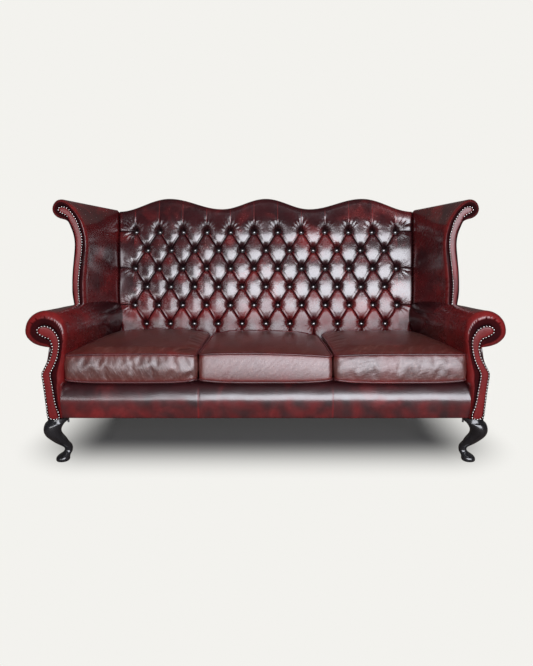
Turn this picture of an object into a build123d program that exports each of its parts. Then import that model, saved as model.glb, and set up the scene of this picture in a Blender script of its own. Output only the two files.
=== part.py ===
from build123d import *
import os
from math import cos, hypot, pi, radians, sin, tan

# A three-seat high-back wing sofa with rolled arms, a deep-buttoned back and three loose cushions.
# Millimetres. +X is to the right seen from the front, the front faces -Y and +Z is up.
# The origin is on the floor, under the middle of the sofa's box.

# Overall
half_width = 965.0            # middle to the outside of an arm roll
arm_front = -401.4            # plane of the arm facings
rail_bottom = 197.0           # floor to the underside of the frame
rail_height = 110.0
board = 28.0                  # thickness of the rails
panel = 8.0                   # stretched leather on its backing
gap = 0.3                     # soft pieces stand this far from their neighbours
splay = tan(radians(7.6))     # the arms open towards the front
overrun = 40.0                # cutting tools reach this far past the piece

# Back
lean = 15.1                   # degrees from upright
back_reach = 526.0            # arm facings to the inside back, at back_datum
back_datum = 460.0            # height where back_reach is measured
back_in = 205.0               # outside of an arm roll to the side of the inside back
back_taper = 15.0             # the inside back narrows by this towards its foot
back_foot = 112.0             # the inside back goes this far below back_datum
end_height = 634.0            # up the back from back_datum to its top edge at the wings
hump_rise = 68.0              # the humps and valleys stand this far above the ends
valley_rise = 13.0
valley_share = 0.2974         # places across the half width of the back
hump_share = 0.6579
pad_depth = 62.0
back_webbing_thickness = 3.0
back_board = 35.0
back_post_width = 45.0
back_post_reach = 38.0        # the posts reach this far beyond the inside back
top_rail_depth = 100.0
foot_rail_depth = 50.0
outside_back_thickness = 12.0
top_round = 28.0              # rounding of the top edge
top_cover = 14.0              # leather and wadding over the top rail

# Buttoning
side_margin = 89.0            # sides of the inside back to the nearest buttons
row_pitch = 95.0
top_margin = 107.5            # end_height to the top row
rows = 6
top_row_buttons = 12
pillow_rise = 20.0
button_diameter = 19.0
button_height = 7.0
button_floor = 34.0           # depth of the seat of a button
pocket_mouth = 16.0           # depth where a pocket opens
pocket_wide = 20.0
pocket_tall = 26.0
pocket_floor_share = 0.66

# Arms
roll_radius = 86.0
arm_top = 646.0
arm_droop = 0.03              # fall of the roll towards the back
arm_lip = 28.0                # rounding at the front of the roll
arm_width = 142.0             # outside of the roll to the inside of the arm
neck_in = 97.0                # outside of the roll to the neck, and so on
neck_z = 497.0
knee_in = 60.0
knee_z = 389.0
base_in = 69.0
waist_in = 5.0                # the outer side is hollowed between neck and knee
wall_bow = 3.0                # the inner side swells by this
hollow_in = 10.0              # hollow under the roll, across and down
hollow_down = 8.0
arm_pad_bottom = 336.0
arm_pad_thickness = 24.0
scroll_in = 101.0             # outside of the roll to the middle of the facing's scroll
scroll_radius = 44.0
scroll_z = 550.0
facing_thickness = 6.0
facing_foot = 54.0            # widths of the facing at its foot, knee and neck
facing_knee = 43.0
facing_neck = 38.0
facing_knee_drop = 20.0
facing_neck_lift = 8.0
facing_hook = 6.0
arm_board_thickness = 25.0
arm_rail_width = 58.0
arm_rail_thickness = 25.0
arm_lining = 6.0              # the stuffing is thinner by this at its top
tack_rail = 24.0
tack_clearance = 4.0

# Wings
wing_setback = 337.0          # arm facings to the wing facings
wing_in = 110.0               # outside of the roll to the wing's nails
wing_reach = 100.0            # the nails to the outside of the wing's scroll
wing_drop = 26.0              # top of the roll to where the wing starts
wing_top = 1101.0
wing_scroll_radius = 43.0
wing_lip = 22.0
wing_root_thickness = 52.0    # the wing where it joins the back
wing_facing_depth = 13.0
wing_post_wide = 22.0
wing_post_deep = 28.0
wing_post_in = 13.0           # the wing's nails to the middle of its post
wing_post_back = 16.0
wing_rail_wide = 18.0
wing_rail_tall = 30.0
wing_rail_drop = 100.0        # top of the post to the rail

# Seat
deck_top = 352.0
webbing_thickness = 3.0
webbing_width = 50.0
cushion_thickness = 108.0
cushion_crown = 18.0
cushion_overhang = 10.0       # cushions stand this far in front of the arm facings
cushion_half_share = 0.3281   # half the middle cushion, of inner_x
cushion_side_room = 11.0      # cushions stand this far inside the arms
cushion_corner = 26.0
cushion_draw = 5.0            # the sides are drawn in by this much between the pipings
piping_radius = 4.5
border_front = 10.0           # the front border stands this far behind the arm facings
border_round = 24.0
border_depth = 62.0
border_drop = 6.0             # top of the border below the top of the deck
border_set = 4.0              # the border's face behind border_front at its edges
border_bulge = 5.0            # and in front of it at its fullest
border_flat = 60.0            # height of the flat below the bulge

# Legs
leg_width = 83.0
leg_in = 102.0                # outside of the arm roll to the middle of the front leg
corner_block = 60.0
cloth_thickness = 1.5
cloth_edge = 12.0
rear_leg_top = 54.0
rear_leg_foot = 38.0
rear_leg_rake = 84.0
rear_leg_round = 6.0
rear_leg_set = 5.0
bolt_diameter = 8.0
bolt_length = 70.0

rail_top = rail_bottom + rail_height
back_half_top = half_width - back_in
back_half_bottom = back_half_top - back_taper
hump_height = end_height + hump_rise
valley_height = end_height + valley_rise
valley_x = valley_share * back_half_top
hump_x = hump_share * back_half_top
top_row = end_height - top_margin
button_pitch = 2 * (back_half_top - side_margin) / (top_row_buttons - 1)
neck_x = half_width - neck_in
knee_x = half_width - knee_in
base_x = half_width - base_in
inner_x = half_width - arm_width
scroll_x = half_width - scroll_in
facing_half = facing_thickness / 2
wing_front = arm_front + wing_setback
wing_x = half_width - wing_in
wing_base = arm_top - wing_drop
wing_root = back_half_top + wing_root_thickness
cushion_half = cushion_half_share * inner_x
leg_x = half_width - leg_in
post_out = back_half_top + back_post_reach
post_in = post_out - back_post_width
back_y = arm_front + back_reach
slope = tan(radians(lean))
frame_front = pad_depth + back_webbing_thickness
frame_back = frame_front + back_board
back_thick = frame_back + outside_back_thickness
back_place = Location(Plane(origin=(0, back_y, back_datum), x_dir=(1, 0, 0),
                            z_dir=(0, -cos(radians(lean)), sin(radians(lean)))))
parts = {}


def block(x0, x1, y0, y1, z0, z1):
    """A box between two corners."""
    return Pos((x0 + x1) / 2, (y0 + y1) / 2, (z0 + z1) / 2) * Box(x1 - x0, y1 - y0, z1 - z0)


def section(y, edges):
    """A face in the upright plane at y, from edges drawn as (x, height)."""
    return Plane(origin=(0, y, 0), x_dir=(1, 0, 0), z_dir=(0, -1, 0)) * make_face(edges)


def prism(y0, y1, edges, shear=0.0):
    """Edges drawn as (x, height) at y0 and carried back to y1, moving across by shear."""
    run = Vector(shear, 1, 0)
    return extrude(section(y0, edges), amount=(y1 - y0) * run.length, dir=run)


def back_depth_y(depth, height):
    """The y of a plane in the back, at a depth behind the inside back and a height."""
    return back_y + (height - back_datum) * slope + depth / cos(radians(lean))


def top_wave(x):
    """Height up the back of the three-hump top edge."""
    reach = abs(x)
    if reach <= valley_x:
        low, high, turn = valley_height, hump_height, reach / valley_x
    elif reach <= hump_x:
        low, high, turn = valley_height, hump_height, (hump_x - reach) / (hump_x - valley_x)
    else:
        low, high, turn = end_height, hump_height, (reach - hump_x) / (back_half_top - hump_x)
    return low + (high - low) * (1 + cos(pi * turn)) / 2


def back_outline(drop, bottom, half_top, half_bottom):
    """Outline in the plane of the back, under the three humps lowered by drop."""
    steps = 28
    along = [half_top * (2 * i / steps - 1) for i in range(steps + 1)]
    crest = [(x, top_wave(x) - drop) for x in along]
    return [Spline(*crest), Line(crest[-1], (half_bottom, bottom)),
            Line((half_bottom, bottom), (-half_bottom, bottom)), Line((-half_bottom, bottom), crest[0])]


def back_slab(depth0, depth1, outline):
    """A slab of the back between two depths, in the back's own plane."""
    return extrude(Pos(0, 0, -depth1) * make_face(outline), amount=depth1 - depth0)


def ribs(pitch, start, count, toward):
    """Rounded ribs side by side, in the back's own plane, running along toward from start."""
    across = Vector(0, 0, 1).cross(toward)
    creases = [(i - count / 2) * pitch for i in range(count + 1)]
    edges = [ThreePointArc((a, -pillow_rise), ((a + b) / 2, 0), (b, -pillow_rise))
             for a, b in zip(creases, creases[1:])]
    edges.append(Polyline((creases[-1], -pillow_rise), (creases[-1], -pad_depth),
                          (creases[0], -pad_depth), (creases[0], -pillow_rise)))
    plane = Plane(origin=start, x_dir=across, z_dir=toward)
    return extrude(plane * make_face(edges), amount=2 * half_width, both=True)


def button_spots():
    """Places of the buttons in the plane of the back."""
    spots = []
    for row in range(rows):
        count = top_row_buttons - row % 2
        for i in range(count):
            spots.append(((i - (count - 1) / 2) * button_pitch, top_row - row * row_pitch))
    return spots


def inside_back():
    """Deep-buttoned back: crossing ribs make the diamonds, straight ribs the borders."""
    low_row = top_row - (rows - 1) * row_pitch
    half_field = button_pitch * (top_row_buttons - 1) / 2
    crest = hump_height + overrun
    start = (0, top_row - row_pitch, 0)
    diagonal = hypot(button_pitch / 2, row_pitch)
    pitch = button_pitch * row_pitch / diagonal
    field = block(-half_field, half_field, low_row, top_row, -pad_depth, 0)
    for side in (1, -1):
        toward = Vector(side * button_pitch / 2, row_pitch, 0).normalized()
        field &= ribs(pitch, start, 2 * top_row_buttons, toward)
    up = Vector(0, 1, 0)
    pleats = ribs(button_pitch, (0, 0, 0), top_row_buttons + 2, up)
    low_pleats = ribs(button_pitch, (0, 0, 0), top_row_buttons + 1, up)
    side_pleats = ribs(2 * row_pitch, (0, top_row - 2 * row_pitch, 0), rows, Vector(1, 0, 0))
    wide = back_half_top + overrun
    top_border = block(-wide, wide, top_row, crest, -pad_depth, 0) & pleats
    bottom_border = block(-half_field, half_field, -back_foot, low_row, -pad_depth, 0) & low_pleats
    cover = back_slab(pad_depth, frame_back, back_outline(-overrun, end_height - overrun, wide, wide))
    cover -= back_slab(pad_depth, frame_back, back_outline(top_cover, -back_foot, wide, wide))
    pad = field + [top_border, bottom_border]
    for side in (1, -1):
        edge = sorted((side * half_field, side * wide))
        pad += block(edge[0], edge[1], -back_foot, top_row, -pad_depth, 0) & side_pleats
    pad = (pad + cover) & back_shape(-back_foot)
    return pad - pockets()


def back_shape(bottom):
    """The whole thickness of the back with its top edges rounded."""
    drops = [(0, top_round), (0.3 * top_round, 0.29 * top_round), (top_round, 0),
             (back_thick - outside_back_thickness, 0), (back_thick, outside_back_thickness)]
    half_low = back_half_bottom + bottom * (back_half_top - back_half_bottom) / end_height
    faces = [Pos(0, 0, -depth) * make_face(back_outline(drop, bottom, back_half_top, half_low))
             for depth, drop in drops]
    return loft(faces, ruled=True)


def pockets():
    """The four-sided hollows that the buttons are drawn down into."""
    tools = []
    for x, height in button_spots():
        faces = []
        for depth, share in ((pocket_mouth, 1), (button_floor, pocket_floor_share)):
            wide, tall = share * pocket_wide, share * pocket_tall
            corners = [(wide, 0), (0, tall), (-wide, 0), (0, -tall)]
            faces.append(Pos(x, height, -depth) * make_face(Polyline(*corners, close=True)))
        tools.append(loft(faces, ruled=True))
    return tools


def buttons():
    """Eight-sided covered buttons with sloping rims, seated on the floors of the pockets."""
    solids = []
    for x, height in button_spots():
        rings = ((button_floor, 0.5), (button_floor - 0.4 * button_height, 0.5),
                 (button_floor - button_height, 0.22))
        faces = [Pos(x, height, -depth) * RegularPolygon(share * button_diameter, side_count=8)
                 for depth, share in rings]
        solids.append(loft(faces, ruled=True))
    return Compound(children=solids)


def back_frame():
    """Posts, rails, stiles, webbing and the outside panel, in the plane of the back."""
    rail_low = valley_height - top_rail_depth
    tack_low = -back_foot + board
    wide = back_half_top + overrun
    parts["back_top_rail"] = (back_slab(frame_front, frame_back,
                                        back_outline(top_cover, rail_low, wide, wide))
                              & block(-post_in, post_in, rail_low, hump_height, -frame_back,
                                      -frame_front))
    parts["back_tacking_rail"] = block(-post_in, post_in, tack_low, tack_low + foot_rail_depth,
                                       -frame_back, -frame_front)
    stiles = [block(x - board, x + board, tack_low + foot_rail_depth, rail_low, -frame_back, -frame_front)
              for x in (-post_in / 3, post_in / 3)]
    parts["back_stiles"] = Compound(children=stiles)
    strap = webbing_width / 2
    straps = [block(x - strap, x + strap, tack_low, rail_low + strap, -frame_front, -pad_depth)
              for x in (-2 * post_in / 3, 0, 2 * post_in / 3)]
    parts["back_webbing"] = Compound(children=straps)
    post_top = end_height - top_cover - gap
    post = block(post_in, post_out, -2 * rail_top, post_top, -frame_back, -frame_front)
    for name in ("back_top_rail", "back_tacking_rail", "back_stiles", "back_webbing"):
        parts[name] = back_place * parts[name]
    post = (back_place * post) & block(0, half_width, back_y - half_width, back_y + half_width,
                                       rail_bottom, 2 * half_width)
    parts["right_back_post"] = post
    parts["left_back_post"] = mirror(post, about=Plane.YZ)
    low = (rail_bottom - back_datum) / cos(radians(lean)) - overrun
    outline = back_outline(0, low, back_half_top, wing_root)
    side = wing_root - back_half_top
    rear = back_slab(frame_back, back_thick, outline)
    wing_backs = [Line((back_half_top, low), (wing_root, low)),
                  Line((wing_root, low), (wing_root, end_height - side)),
                  ThreePointArc((wing_root, end_height - side),
                                (back_half_top + 0.7 * side, end_height - 0.3 * side),
                                (back_half_top, end_height)),
                  Line((back_half_top, end_height), (back_half_top, low))]
    ear = back_slab(frame_back, back_thick, wing_backs)
    rear = back_place * (rear + ear + mirror(ear, about=Plane.YZ))
    parts["outside_back"] = rear & block(-half_width, half_width, 0, half_width, rail_bottom,
                                         2 * half_width)


def arm_side(y, inward=0.0):
    """Neck, waist, knee and base of the left arm's outer side at y, moved inward."""
    places = []
    for x, z in ((neck_x, neck_z), (knee_x, knee_z), (base_x, rail_bottom)):
        run = (x - wing_root) / (back_depth_y(back_thick, z) - arm_front)
        places.append((-x + run * (y - arm_front) + inward, z))
    neck, knee, base = places
    waist = ((neck[0] + knee[0]) / 2 + waist_in, (neck[1] + knee[1]) / 2)
    return neck, waist, knee, base


def arm_section(y, inset):
    """Outline of a whole stuffed left arm, smaller by inset round the roll."""
    back = y - arm_front
    shift = splay * back
    middle_x = -(half_width - roll_radius) + shift - splay * arm_lip
    middle_z = arm_top - roll_radius - arm_droop * back
    radius = roll_radius - inset

    def rim(angle):
        return (middle_x + radius * cos(radians(angle)), middle_z + radius * sin(radians(angle)))

    neck, waist, knee, base = arm_side(y)
    wall = (-inner_x + shift - inset, arm_pad_bottom)
    wall_mid = (-inner_x + shift - inset + wall_bow, (arm_pad_bottom + middle_z) / 2)
    hollow = ((rim(200)[0] + neck[0]) / 2 - hollow_in, (rim(200)[1] + neck[1]) / 2 - hollow_down)
    corner = (wall[0], rail_bottom)
    return section(y, [ThreePointArc(wall, wall_mid, rim(-20)),
                       ThreePointArc(rim(-20), rim(35), rim(90)),
                       ThreePointArc(rim(90), rim(145), rim(200)),
                       ThreePointArc(rim(200), hollow, neck), ThreePointArc(neck, waist, knee),
                       Line(knee, base), Line(base, corner), Line(corner, wall)])


def arm_shape(y1):
    """A whole stuffed left arm, rounded at the front."""
    rounds = [(0, arm_lip), (0.3 * arm_lip, 0.29 * arm_lip), (arm_lip, 0)]
    faces = [arm_section(arm_front + depth, inset) for depth, inset in rounds]
    faces.append(arm_section(y1, 0))
    return loft(faces, ruled=True)


def facing_outline():
    """The swan-necked outline of the left arm's front board."""
    def rim(angle):
        return (-scroll_x + scroll_radius * cos(radians(angle)),
                scroll_z + scroll_radius * sin(radians(angle)))

    neck, waist, knee, base = arm_side(arm_front, panel)
    foot = (-base_x + facing_foot, rail_bottom)
    bend = (-knee_x + facing_knee, knee_z - facing_knee_drop)
    swan = (-neck_x + facing_neck, (knee_z + neck_z) / 2 + facing_neck_lift)
    return [Line(base, foot), Line(foot, bend), ThreePointArc(bend, swan, rim(-25)),
            ThreePointArc(rim(-25), rim(40), rim(105)), ThreePointArc(rim(105), rim(160), rim(215)),
            ThreePointArc(rim(215), ((rim(215)[0] + neck[0]) / 2, rim(215)[1] - facing_hook), neck),
            ThreePointArc(neck, waist, knee), Line(knee, base)]


def behind_back():
    """Everything behind the plane of the frame's back face."""
    reach = 2 * half_width
    return back_place * block(-reach, reach, -reach, reach, -frame_back - reach, -frame_back)


def back_core():
    """The space of the inside back and what lies behind it, with room for the soft pieces."""
    half_low = back_half_bottom - back_foot * (back_half_top - back_half_bottom) / end_height
    top = hump_height + overrun
    side = (back_half_top - back_half_bottom) / end_height * (top - end_height)
    edges = Polyline((half_low + gap, -back_foot), (back_half_top + side + gap, top),
                     (-back_half_top - side - gap, top), (-half_low - gap, -back_foot), close=True)
    return back_place * back_slab(-overrun, frame_back, edges)


def arms(core, rear):
    """Frame, stuffing and panels of the left arm, and their mirror images."""
    y_end = back_depth_y(back_thick, arm_top) + overrun
    whole = arm_shape(y_end) - rear
    facing = prism(arm_front - facing_half, arm_front + facing_half, facing_outline())
    behind = arm_front + facing_half + arm_board_thickness
    front = prism(arm_front + facing_half, behind, facing_outline())
    shift = splay * (behind - arm_front)

    def skin(outward, inward):
        """The outer skin from neck to base, between two distances from the outside."""
        faces = []
        for y in (behind, y_end):
            rim, lining = arm_side(y, -outward), arm_side(y, inward)
            faces.append(section(y, [ThreePointArc(*rim[:3]), Line(rim[2], rim[3]),
                                     Line(rim[3], lining[3]), Line(lining[3], lining[2]),
                                     ThreePointArc(lining[2], lining[1], lining[0]),
                                     Line(lining[0], rim[0])]))
        return loft(faces, ruled=True)

    outside = skin(0, panel) - rear
    wall = -inner_x + shift - arm_pad_thickness
    lining = Polyline((-knee_x - overrun, neck_z), (wall + arm_lining, neck_z), (wall, arm_pad_bottom),
                      (-inner_x + shift + overrun, arm_pad_bottom),
                      (-inner_x + shift + overrun, rail_bottom - overrun),
                      (-knee_x - overrun, rail_bottom - overrun), close=True)
    cavity = prism(behind, y_end, lining, splay)
    rail_z = arm_top - roll_radius - arm_rail_thickness / 2
    rail_x = -(half_width - roll_radius) + shift
    bar = section(behind, Polyline((rail_x - arm_rail_width / 2, rail_z),
                                   (rail_x + arm_rail_width / 2, rail_z),
                                   (rail_x + arm_rail_width / 2, rail_z + arm_rail_thickness),
                                   (rail_x - arm_rail_width / 2, rail_z + arm_rail_thickness),
                                   close=True))
    run = Vector(splay, 1, -arm_droop)
    top_rail = extrude(bar, amount=(y_end - behind) * run.length, dir=run) - rear
    tack_z = arm_pad_bottom + tack_clearance
    tack = prism(behind, y_end, Polyline((wall - tack_rail, tack_z), (wall, tack_z),
                                         (wall, tack_z + tack_rail), (wall - tack_rail, tack_z + tack_rail),
                                         close=True), splay)
    tack = tack - rear - parts["left_back_post"]
    top_rail = top_rail - parts["left_back_post"]
    post = wing_post() - top_rail
    base_run = (base_x - wing_root) / (back_depth_y(back_thick, rail_bottom) - arm_front)
    x = arm_side(behind, panel)[3][0]
    side_rail = prism(behind, y_end, Polyline((x, rail_bottom), (x + board, rail_bottom),
                                              (x + board, rail_top), (x, rail_top), close=True), base_run)
    side_rail = side_rail - rear - parts["left_back_post"]
    low_front = block(-knee_x, -inner_x + overrun, arm_front - overrun, behind, 0, arm_pad_bottom)
    pad = whole - [core, cavity, facing, front, skin(panel, panel), low_front]
    pad = pad - [top_rail, post, tack, parts["left_back_post"], parts["back_tacking_rail"]]
    return {"arm_stuffing": pad, "arm_facing": facing, "arm_front_board": front,
            "outside_arm": outside, "arm_top_rail": top_rail, "arm_tacking_rail": tack,
            "seat_rail": side_rail, "wing_post": post}, whole


def wing_post():
    """Upright that carries the left wing, standing on the arm's top rail."""
    x = -wing_x + wing_post_in
    y = wing_front + wing_post_back
    foot = arm_top - roll_radius - arm_droop * (y - arm_front)
    return block(x - wing_post_wide / 2, x + wing_post_wide / 2, y, y + wing_post_deep,
                 foot, wing_top - 2.4 * wing_scroll_radius)


wing_inner_shares = [(0.26, 0.03), (0.29, 0.205), (0.37, 0.343), (0.45, 0.45), (0.53, 0.60),
                     (0.49, 0.705), (0.41, 0.776), (0.24, 0.845), (0.04, 0.904), (-0.21, 0.965)]
wing_outer_shares = [(-0.24, 0.776), (-0.11, 0.711), (-0.06, 0.64), (-0.07, 0.563),
                     (-0.20, 0.387), (-0.28, 0.25), (-0.32, 0.132), (-0.27, 0.0)]
wing_nail_shares = [(0.01, 0.02), (0.02, 0.205), (0.08, 0.297), (0.18, 0.414), (0.28, 0.52),
                    (0.32, 0.60), (0.32, 0.669), (0.26, 0.73), (0.19, 0.793), (0.07, 0.847),
                    (-0.05, 0.887)]


def wing_point(share, inset=0.0):
    """A point of the left wing's front outline from its shares of reach and height."""
    return (-wing_x + share[0] * wing_reach - inset, wing_base + share[1] * (wing_top - wing_base))


def wing_section(y, inset):
    """Outline of the whole stuffed left wing at its front."""
    radius = wing_scroll_radius - inset
    x = -wing_x - wing_reach + wing_scroll_radius
    z = wing_top - wing_scroll_radius
    root = wing_base - roll_radius
    inner = [wing_point(share, inset * (1 - share[1] / 2)) for share in wing_inner_shares]
    outer = [wing_point(share) for share in wing_outer_shares]
    start = (inner[0][0], root)
    end = (outer[-1][0], root)

    def rim(angle):
        return (x + radius * cos(radians(angle)), z + radius * sin(radians(angle)))

    return section(y, [Spline(start, *inner, rim(90)), ThreePointArc(rim(90), rim(135), rim(180)),
                       ThreePointArc(rim(180), rim(225), rim(270)), Spline(rim(270), *outer, end),
                       Line(end, start)])


def wing_root_section(depth):
    """Outline of the left wing where it joins the back, at a depth in the back."""
    radius = (wing_root - back_half_top) / 2
    middle = -(wing_root + back_half_top) / 2
    low = (wing_base - roll_radius - back_datum) / cos(radians(lean))
    top = end_height - radius
    heights = [low + (top - low) * i / 11 for i in range(12)]
    inner = [(middle + radius, h) for h in heights]
    outer = [(middle - radius, top - (top - low) * i / 9) for i in range(10)]

    def rim(angle):
        return (middle + radius * cos(radians(angle)), top + radius * sin(radians(angle)))

    edges = [Spline(*inner, rim(45)), ThreePointArc(rim(45), rim(80), rim(115)),
             ThreePointArc(rim(115), rim(150), rim(180)), Spline(*outer), Line(outer[-1], inner[0])]
    return back_place * (Pos(0, 0, -depth) * make_face(edges))


def wings(core, arm_whole, pieces):
    """Stuffing, facing, panel and rail of the left wing."""
    rounds = [(0, wing_lip), (0.3 * wing_lip, 0.29 * wing_lip), (wing_lip, 0)]
    faces = [wing_section(wing_front + depth, inset) for depth, inset in rounds]
    faces += [wing_root_section(0), wing_root_section(frame_back)]
    whole = loft(faces, ruled=True) - arm_whole
    nails = [wing_point(share) for share in wing_nail_shares]
    head_x = -wing_x - 0.48 * wing_reach
    head_z = wing_top - 0.105 * (wing_top - wing_base)
    head = 0.5 * wing_scroll_radius
    rims = [(head_x + head * cos(radians(a)), head_z + head * sin(radians(a)))
            for a in (75, 140, 200, 250, 300)]
    outer = [wing_point(share, -panel / 2) for share in wing_outer_shares]
    root = wing_base - roll_radius
    outline = [Spline((nails[0][0], root), *nails, rims[0]), ThreePointArc(*rims[:3]),
               ThreePointArc(*rims[2:]), Spline(rims[-1], *outer, (outer[-1][0], root)),
               Line((outer[-1][0], root), (nails[0][0], root))]
    facing = prism(wing_front - facing_half, wing_front + wing_facing_depth, outline) - arm_whole
    post = pieces["wing_post"]
    bar_z = wing_top - 2.4 * wing_scroll_radius - wing_rail_drop
    bar_y = wing_front + wing_post_back + wing_post_deep
    bar_x = -wing_x + wing_post_in
    half = wing_rail_wide / 2
    bar = section(bar_y, Polyline((bar_x - half, bar_z), (bar_x + half, bar_z),
                                  (bar_x + half, bar_z + wing_rail_tall),
                                  (bar_x - half, bar_z + wing_rail_tall), close=True))
    end_y = back_depth_y(frame_front, bar_z)
    run = Vector((-(post_in + post_out) / 2 - bar_x) / (end_y - bar_y), 1, 0)
    rail = extrude(bar, amount=half_width / 2, dir=run) - parts["left_back_post"]
    front_of_post = back_place * block(-half_width, 0, -half_width, half_width, -frame_front, half_width)
    rail = rail & front_of_post
    pad = whole - [core, facing, post, rail, parts["left_back_post"]]
    return {"wing_stuffing": pad, "wing_facing": facing, "wing_top_rail": rail}


def seat_frame():
    """Rails, blocks, webbing, deck, front border and dust cloth."""
    rail_y = arm_front + facing_half + arm_board_thickness
    rail_half = base_x - panel - board / 2
    rear_y = back_depth_y(frame_front, rail_bottom)
    inner = base_x - panel - board
    front_rail = block(-rail_half, rail_half, rail_y, rail_y + board, rail_bottom, rail_top)
    for side in ("left", "right"):
        parts[side + "_seat_rail"] = parts[side + "_seat_rail"] - front_rail
    parts["front_seat_rail"] = front_rail
    rear_rail = block(-post_in, post_in, rear_y, rear_y + board, rail_bottom, rail_top)
    parts["rear_seat_rail"] = rear_rail
    cross = [block(x - board / 2, x + board / 2, rail_y + board, rear_y, rail_bottom, rail_top)
             for x in (-cushion_half, cushion_half)]
    parts["seat_cross_rails"] = Compound(children=cross)
    deck_bottom = rail_top + 2 * webbing_thickness
    deck_y0 = arm_front + border_front + border_depth
    deck_y1 = back_depth_y(-gap, deck_bottom)
    left_edge = [(-inner_x + splay * (y - arm_front) + gap, y) for y in (deck_y0, deck_y1)]
    plan = Polyline(*left_edge, *[(-x, y) for x, y in reversed(left_edge)], close=True)
    parts["seat_deck"] = extrude(Pos(0, 0, deck_bottom) * make_face(plan), amount=deck_top - deck_bottom)
    straps = []
    count = 9
    for i in range(count):
        x = (i - (count - 1) / 2) * 1.9 * inner_x / count
        straps.append(block(x - webbing_width / 2, x + webbing_width / 2, rail_y, rear_y + board / 2,
                            rail_top, rail_top + webbing_thickness))
    parts["webbing_lengthways"] = Compound(children=straps)
    straps = []
    for i in range(4):
        y = rail_y + board + (i + 0.6) * (rear_y - rail_y - board) / 4.4
        reach = inner - splay * (y - arm_front)
        straps.append(block(-reach, reach, y - webbing_width / 2, y + webbing_width / 2,
                            rail_top + webbing_thickness, rail_top + 2 * webbing_thickness))
    parts["webbing_crossways"] = Compound(children=straps)
    front_y = arm_front + border_front
    top = deck_top - border_drop
    bulge_z = rail_bottom + 0.68 * (top - rail_bottom)
    face_y = front_y + border_set
    flat = rail_bottom + border_flat
    lip = [Line((face_y, rail_bottom), (face_y, flat)),
           ThreePointArc((face_y, flat), (front_y - border_bulge, bulge_z),
                         (face_y, top - border_round / 2)),
           ThreePointArc((face_y, top - border_round / 2),
                         (face_y + border_round / 3, top - border_round / 8),
                         (face_y + border_round, top)),
           Polyline((face_y + border_round, top), (deck_y0 - gap, top), (deck_y0 - gap, rail_bottom),
                    (face_y, rail_bottom))]
    wide = base_x - panel
    face = Plane(origin=(-wide, 0, 0), x_dir=(0, 1, 0), z_dir=(1, 0, 0)) * make_face(lip)
    border = extrude(face, amount=2 * wide)
    solids = [front_rail, parts["webbing_lengthways"], parts["webbing_crossways"]]
    for side in ("left", "right"):
        solids += [parts[side + "_arm_front_board"], parts[side + "_arm_facing"],
                   parts[side + "_outside_arm"], parts[side + "_seat_rail"],
                   parts[side + "_arm_stuffing"], parts[side + "_arm_tacking_rail"]]
    inside = block(-inner_x - board, inner_x + board, arm_front - overrun, deck_y0, 0, deck_top)
    border = (border & inside) - solids
    cross_cut = block(-rail_half, rail_half, rail_y + board, deck_y0, 0, rail_top)
    parts["front_border"] = border - cross_cut


cushion_crown_shares = [(0.25, 0.05), (0.62, 0.19), (0.88, 0.39), (1.0, 0.63)]


def cushion(x_front0, x_front1, x_back0, x_back1):
    """A box cushion: drawn-in sides, a crowned top and a piping round each edge."""
    y_front = arm_front - cushion_overhang
    low = deck_top + gap
    high = low + cushion_thickness

    def corners(z, inset):
        y_back = back_depth_y(0, z) - piping_radius - 3 * gap - inset
        y0 = y_front + inset
        return [(x_front0 + inset, y0), (x_front1 - inset, y0), (x_back1 - inset, y_back),
                (x_back0 + inset, y_back)]

    def outline(z, inset, draw):
        points = [Vector(x, y, z) for x, y in corners(z, inset)]
        edges = []
        for i, point in enumerate(points):
            after = points[(i + 1) % 4]
            before = points[i - 1]
            along = (after - point).normalized()
            back = (before - point).normalized()
            start, end = point + along * cushion_corner, after - along * cushion_corner
            inward = Vector(0, 0, 1).cross(along)
            middle = (start + end) * 0.5 + inward * (draw + gap)
            edges.append(ThreePointArc(point + back * cushion_corner,
                                       point + (along + back) * cushion_corner * 0.293, start))
            edges.append(ThreePointArc(start, middle, end))
        return make_face(edges)

    middle = (low + high) / 2
    levels = [(low, 1.3 * piping_radius, 0), (low + piping_radius, 0, 0), (middle, 0, cushion_draw),
              (high - piping_radius, 0, 0)]
    levels += [(high + rise * cushion_crown, inward * cushion_half, 0)
               for rise, inward in cushion_crown_shares]
    body = loft([outline(*level) for level in levels], ruled=True)
    pipes = []
    for z in (low + piping_radius, high - piping_radius):
        points = [(x, y, z) for x, y in corners(z, gap)]
        path = FilletPolyline(*points, radius=cushion_corner, close=True)
        ring = Plane(origin=path @ 0, z_dir=path % 0) * RegularPolygon(piping_radius, side_count=6)
        pipes.append(sweep(ring, path=path))
    return body - pipes, Compound(children=pipes)


def cushions():
    """The three loose seat cushions, which fill the seat between the arms."""
    side = inner_x - cushion_side_room
    outer_front = side + splay * cushion_overhang
    outer_back = side - splay * back_reach
    inner = cushion_half + 2 * piping_radius + 2 * gap
    rows_of = {"middle": (-cushion_half, cushion_half, -cushion_half, cushion_half),
               "right": (inner, outer_front, inner, outer_back),
               "left": (-outer_front, -inner, -outer_back, -inner)}
    for name, places in rows_of.items():
        body, pipes = cushion(*places)
        parts[name + "_cushion"] = body
        parts[name + "_cushion_piping"] = pipes


leg_shares = [(1.0, 0.0, 1.0), (0.90, 0.14, 0.97), (0.76, 0.29, 0.83), (0.63, 0.25, 0.78),
              (0.53, 0.13, 0.74), (0.40, -0.04, 0.59), (0.31, -0.18, 0.47), (0.235, -0.23, 0.385),
              (0.18, -0.20, 0.42), (0.10, -0.03, 0.62), (0.055, 0.0, 0.66), (0.0, 0.0, 0.52)]


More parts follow.
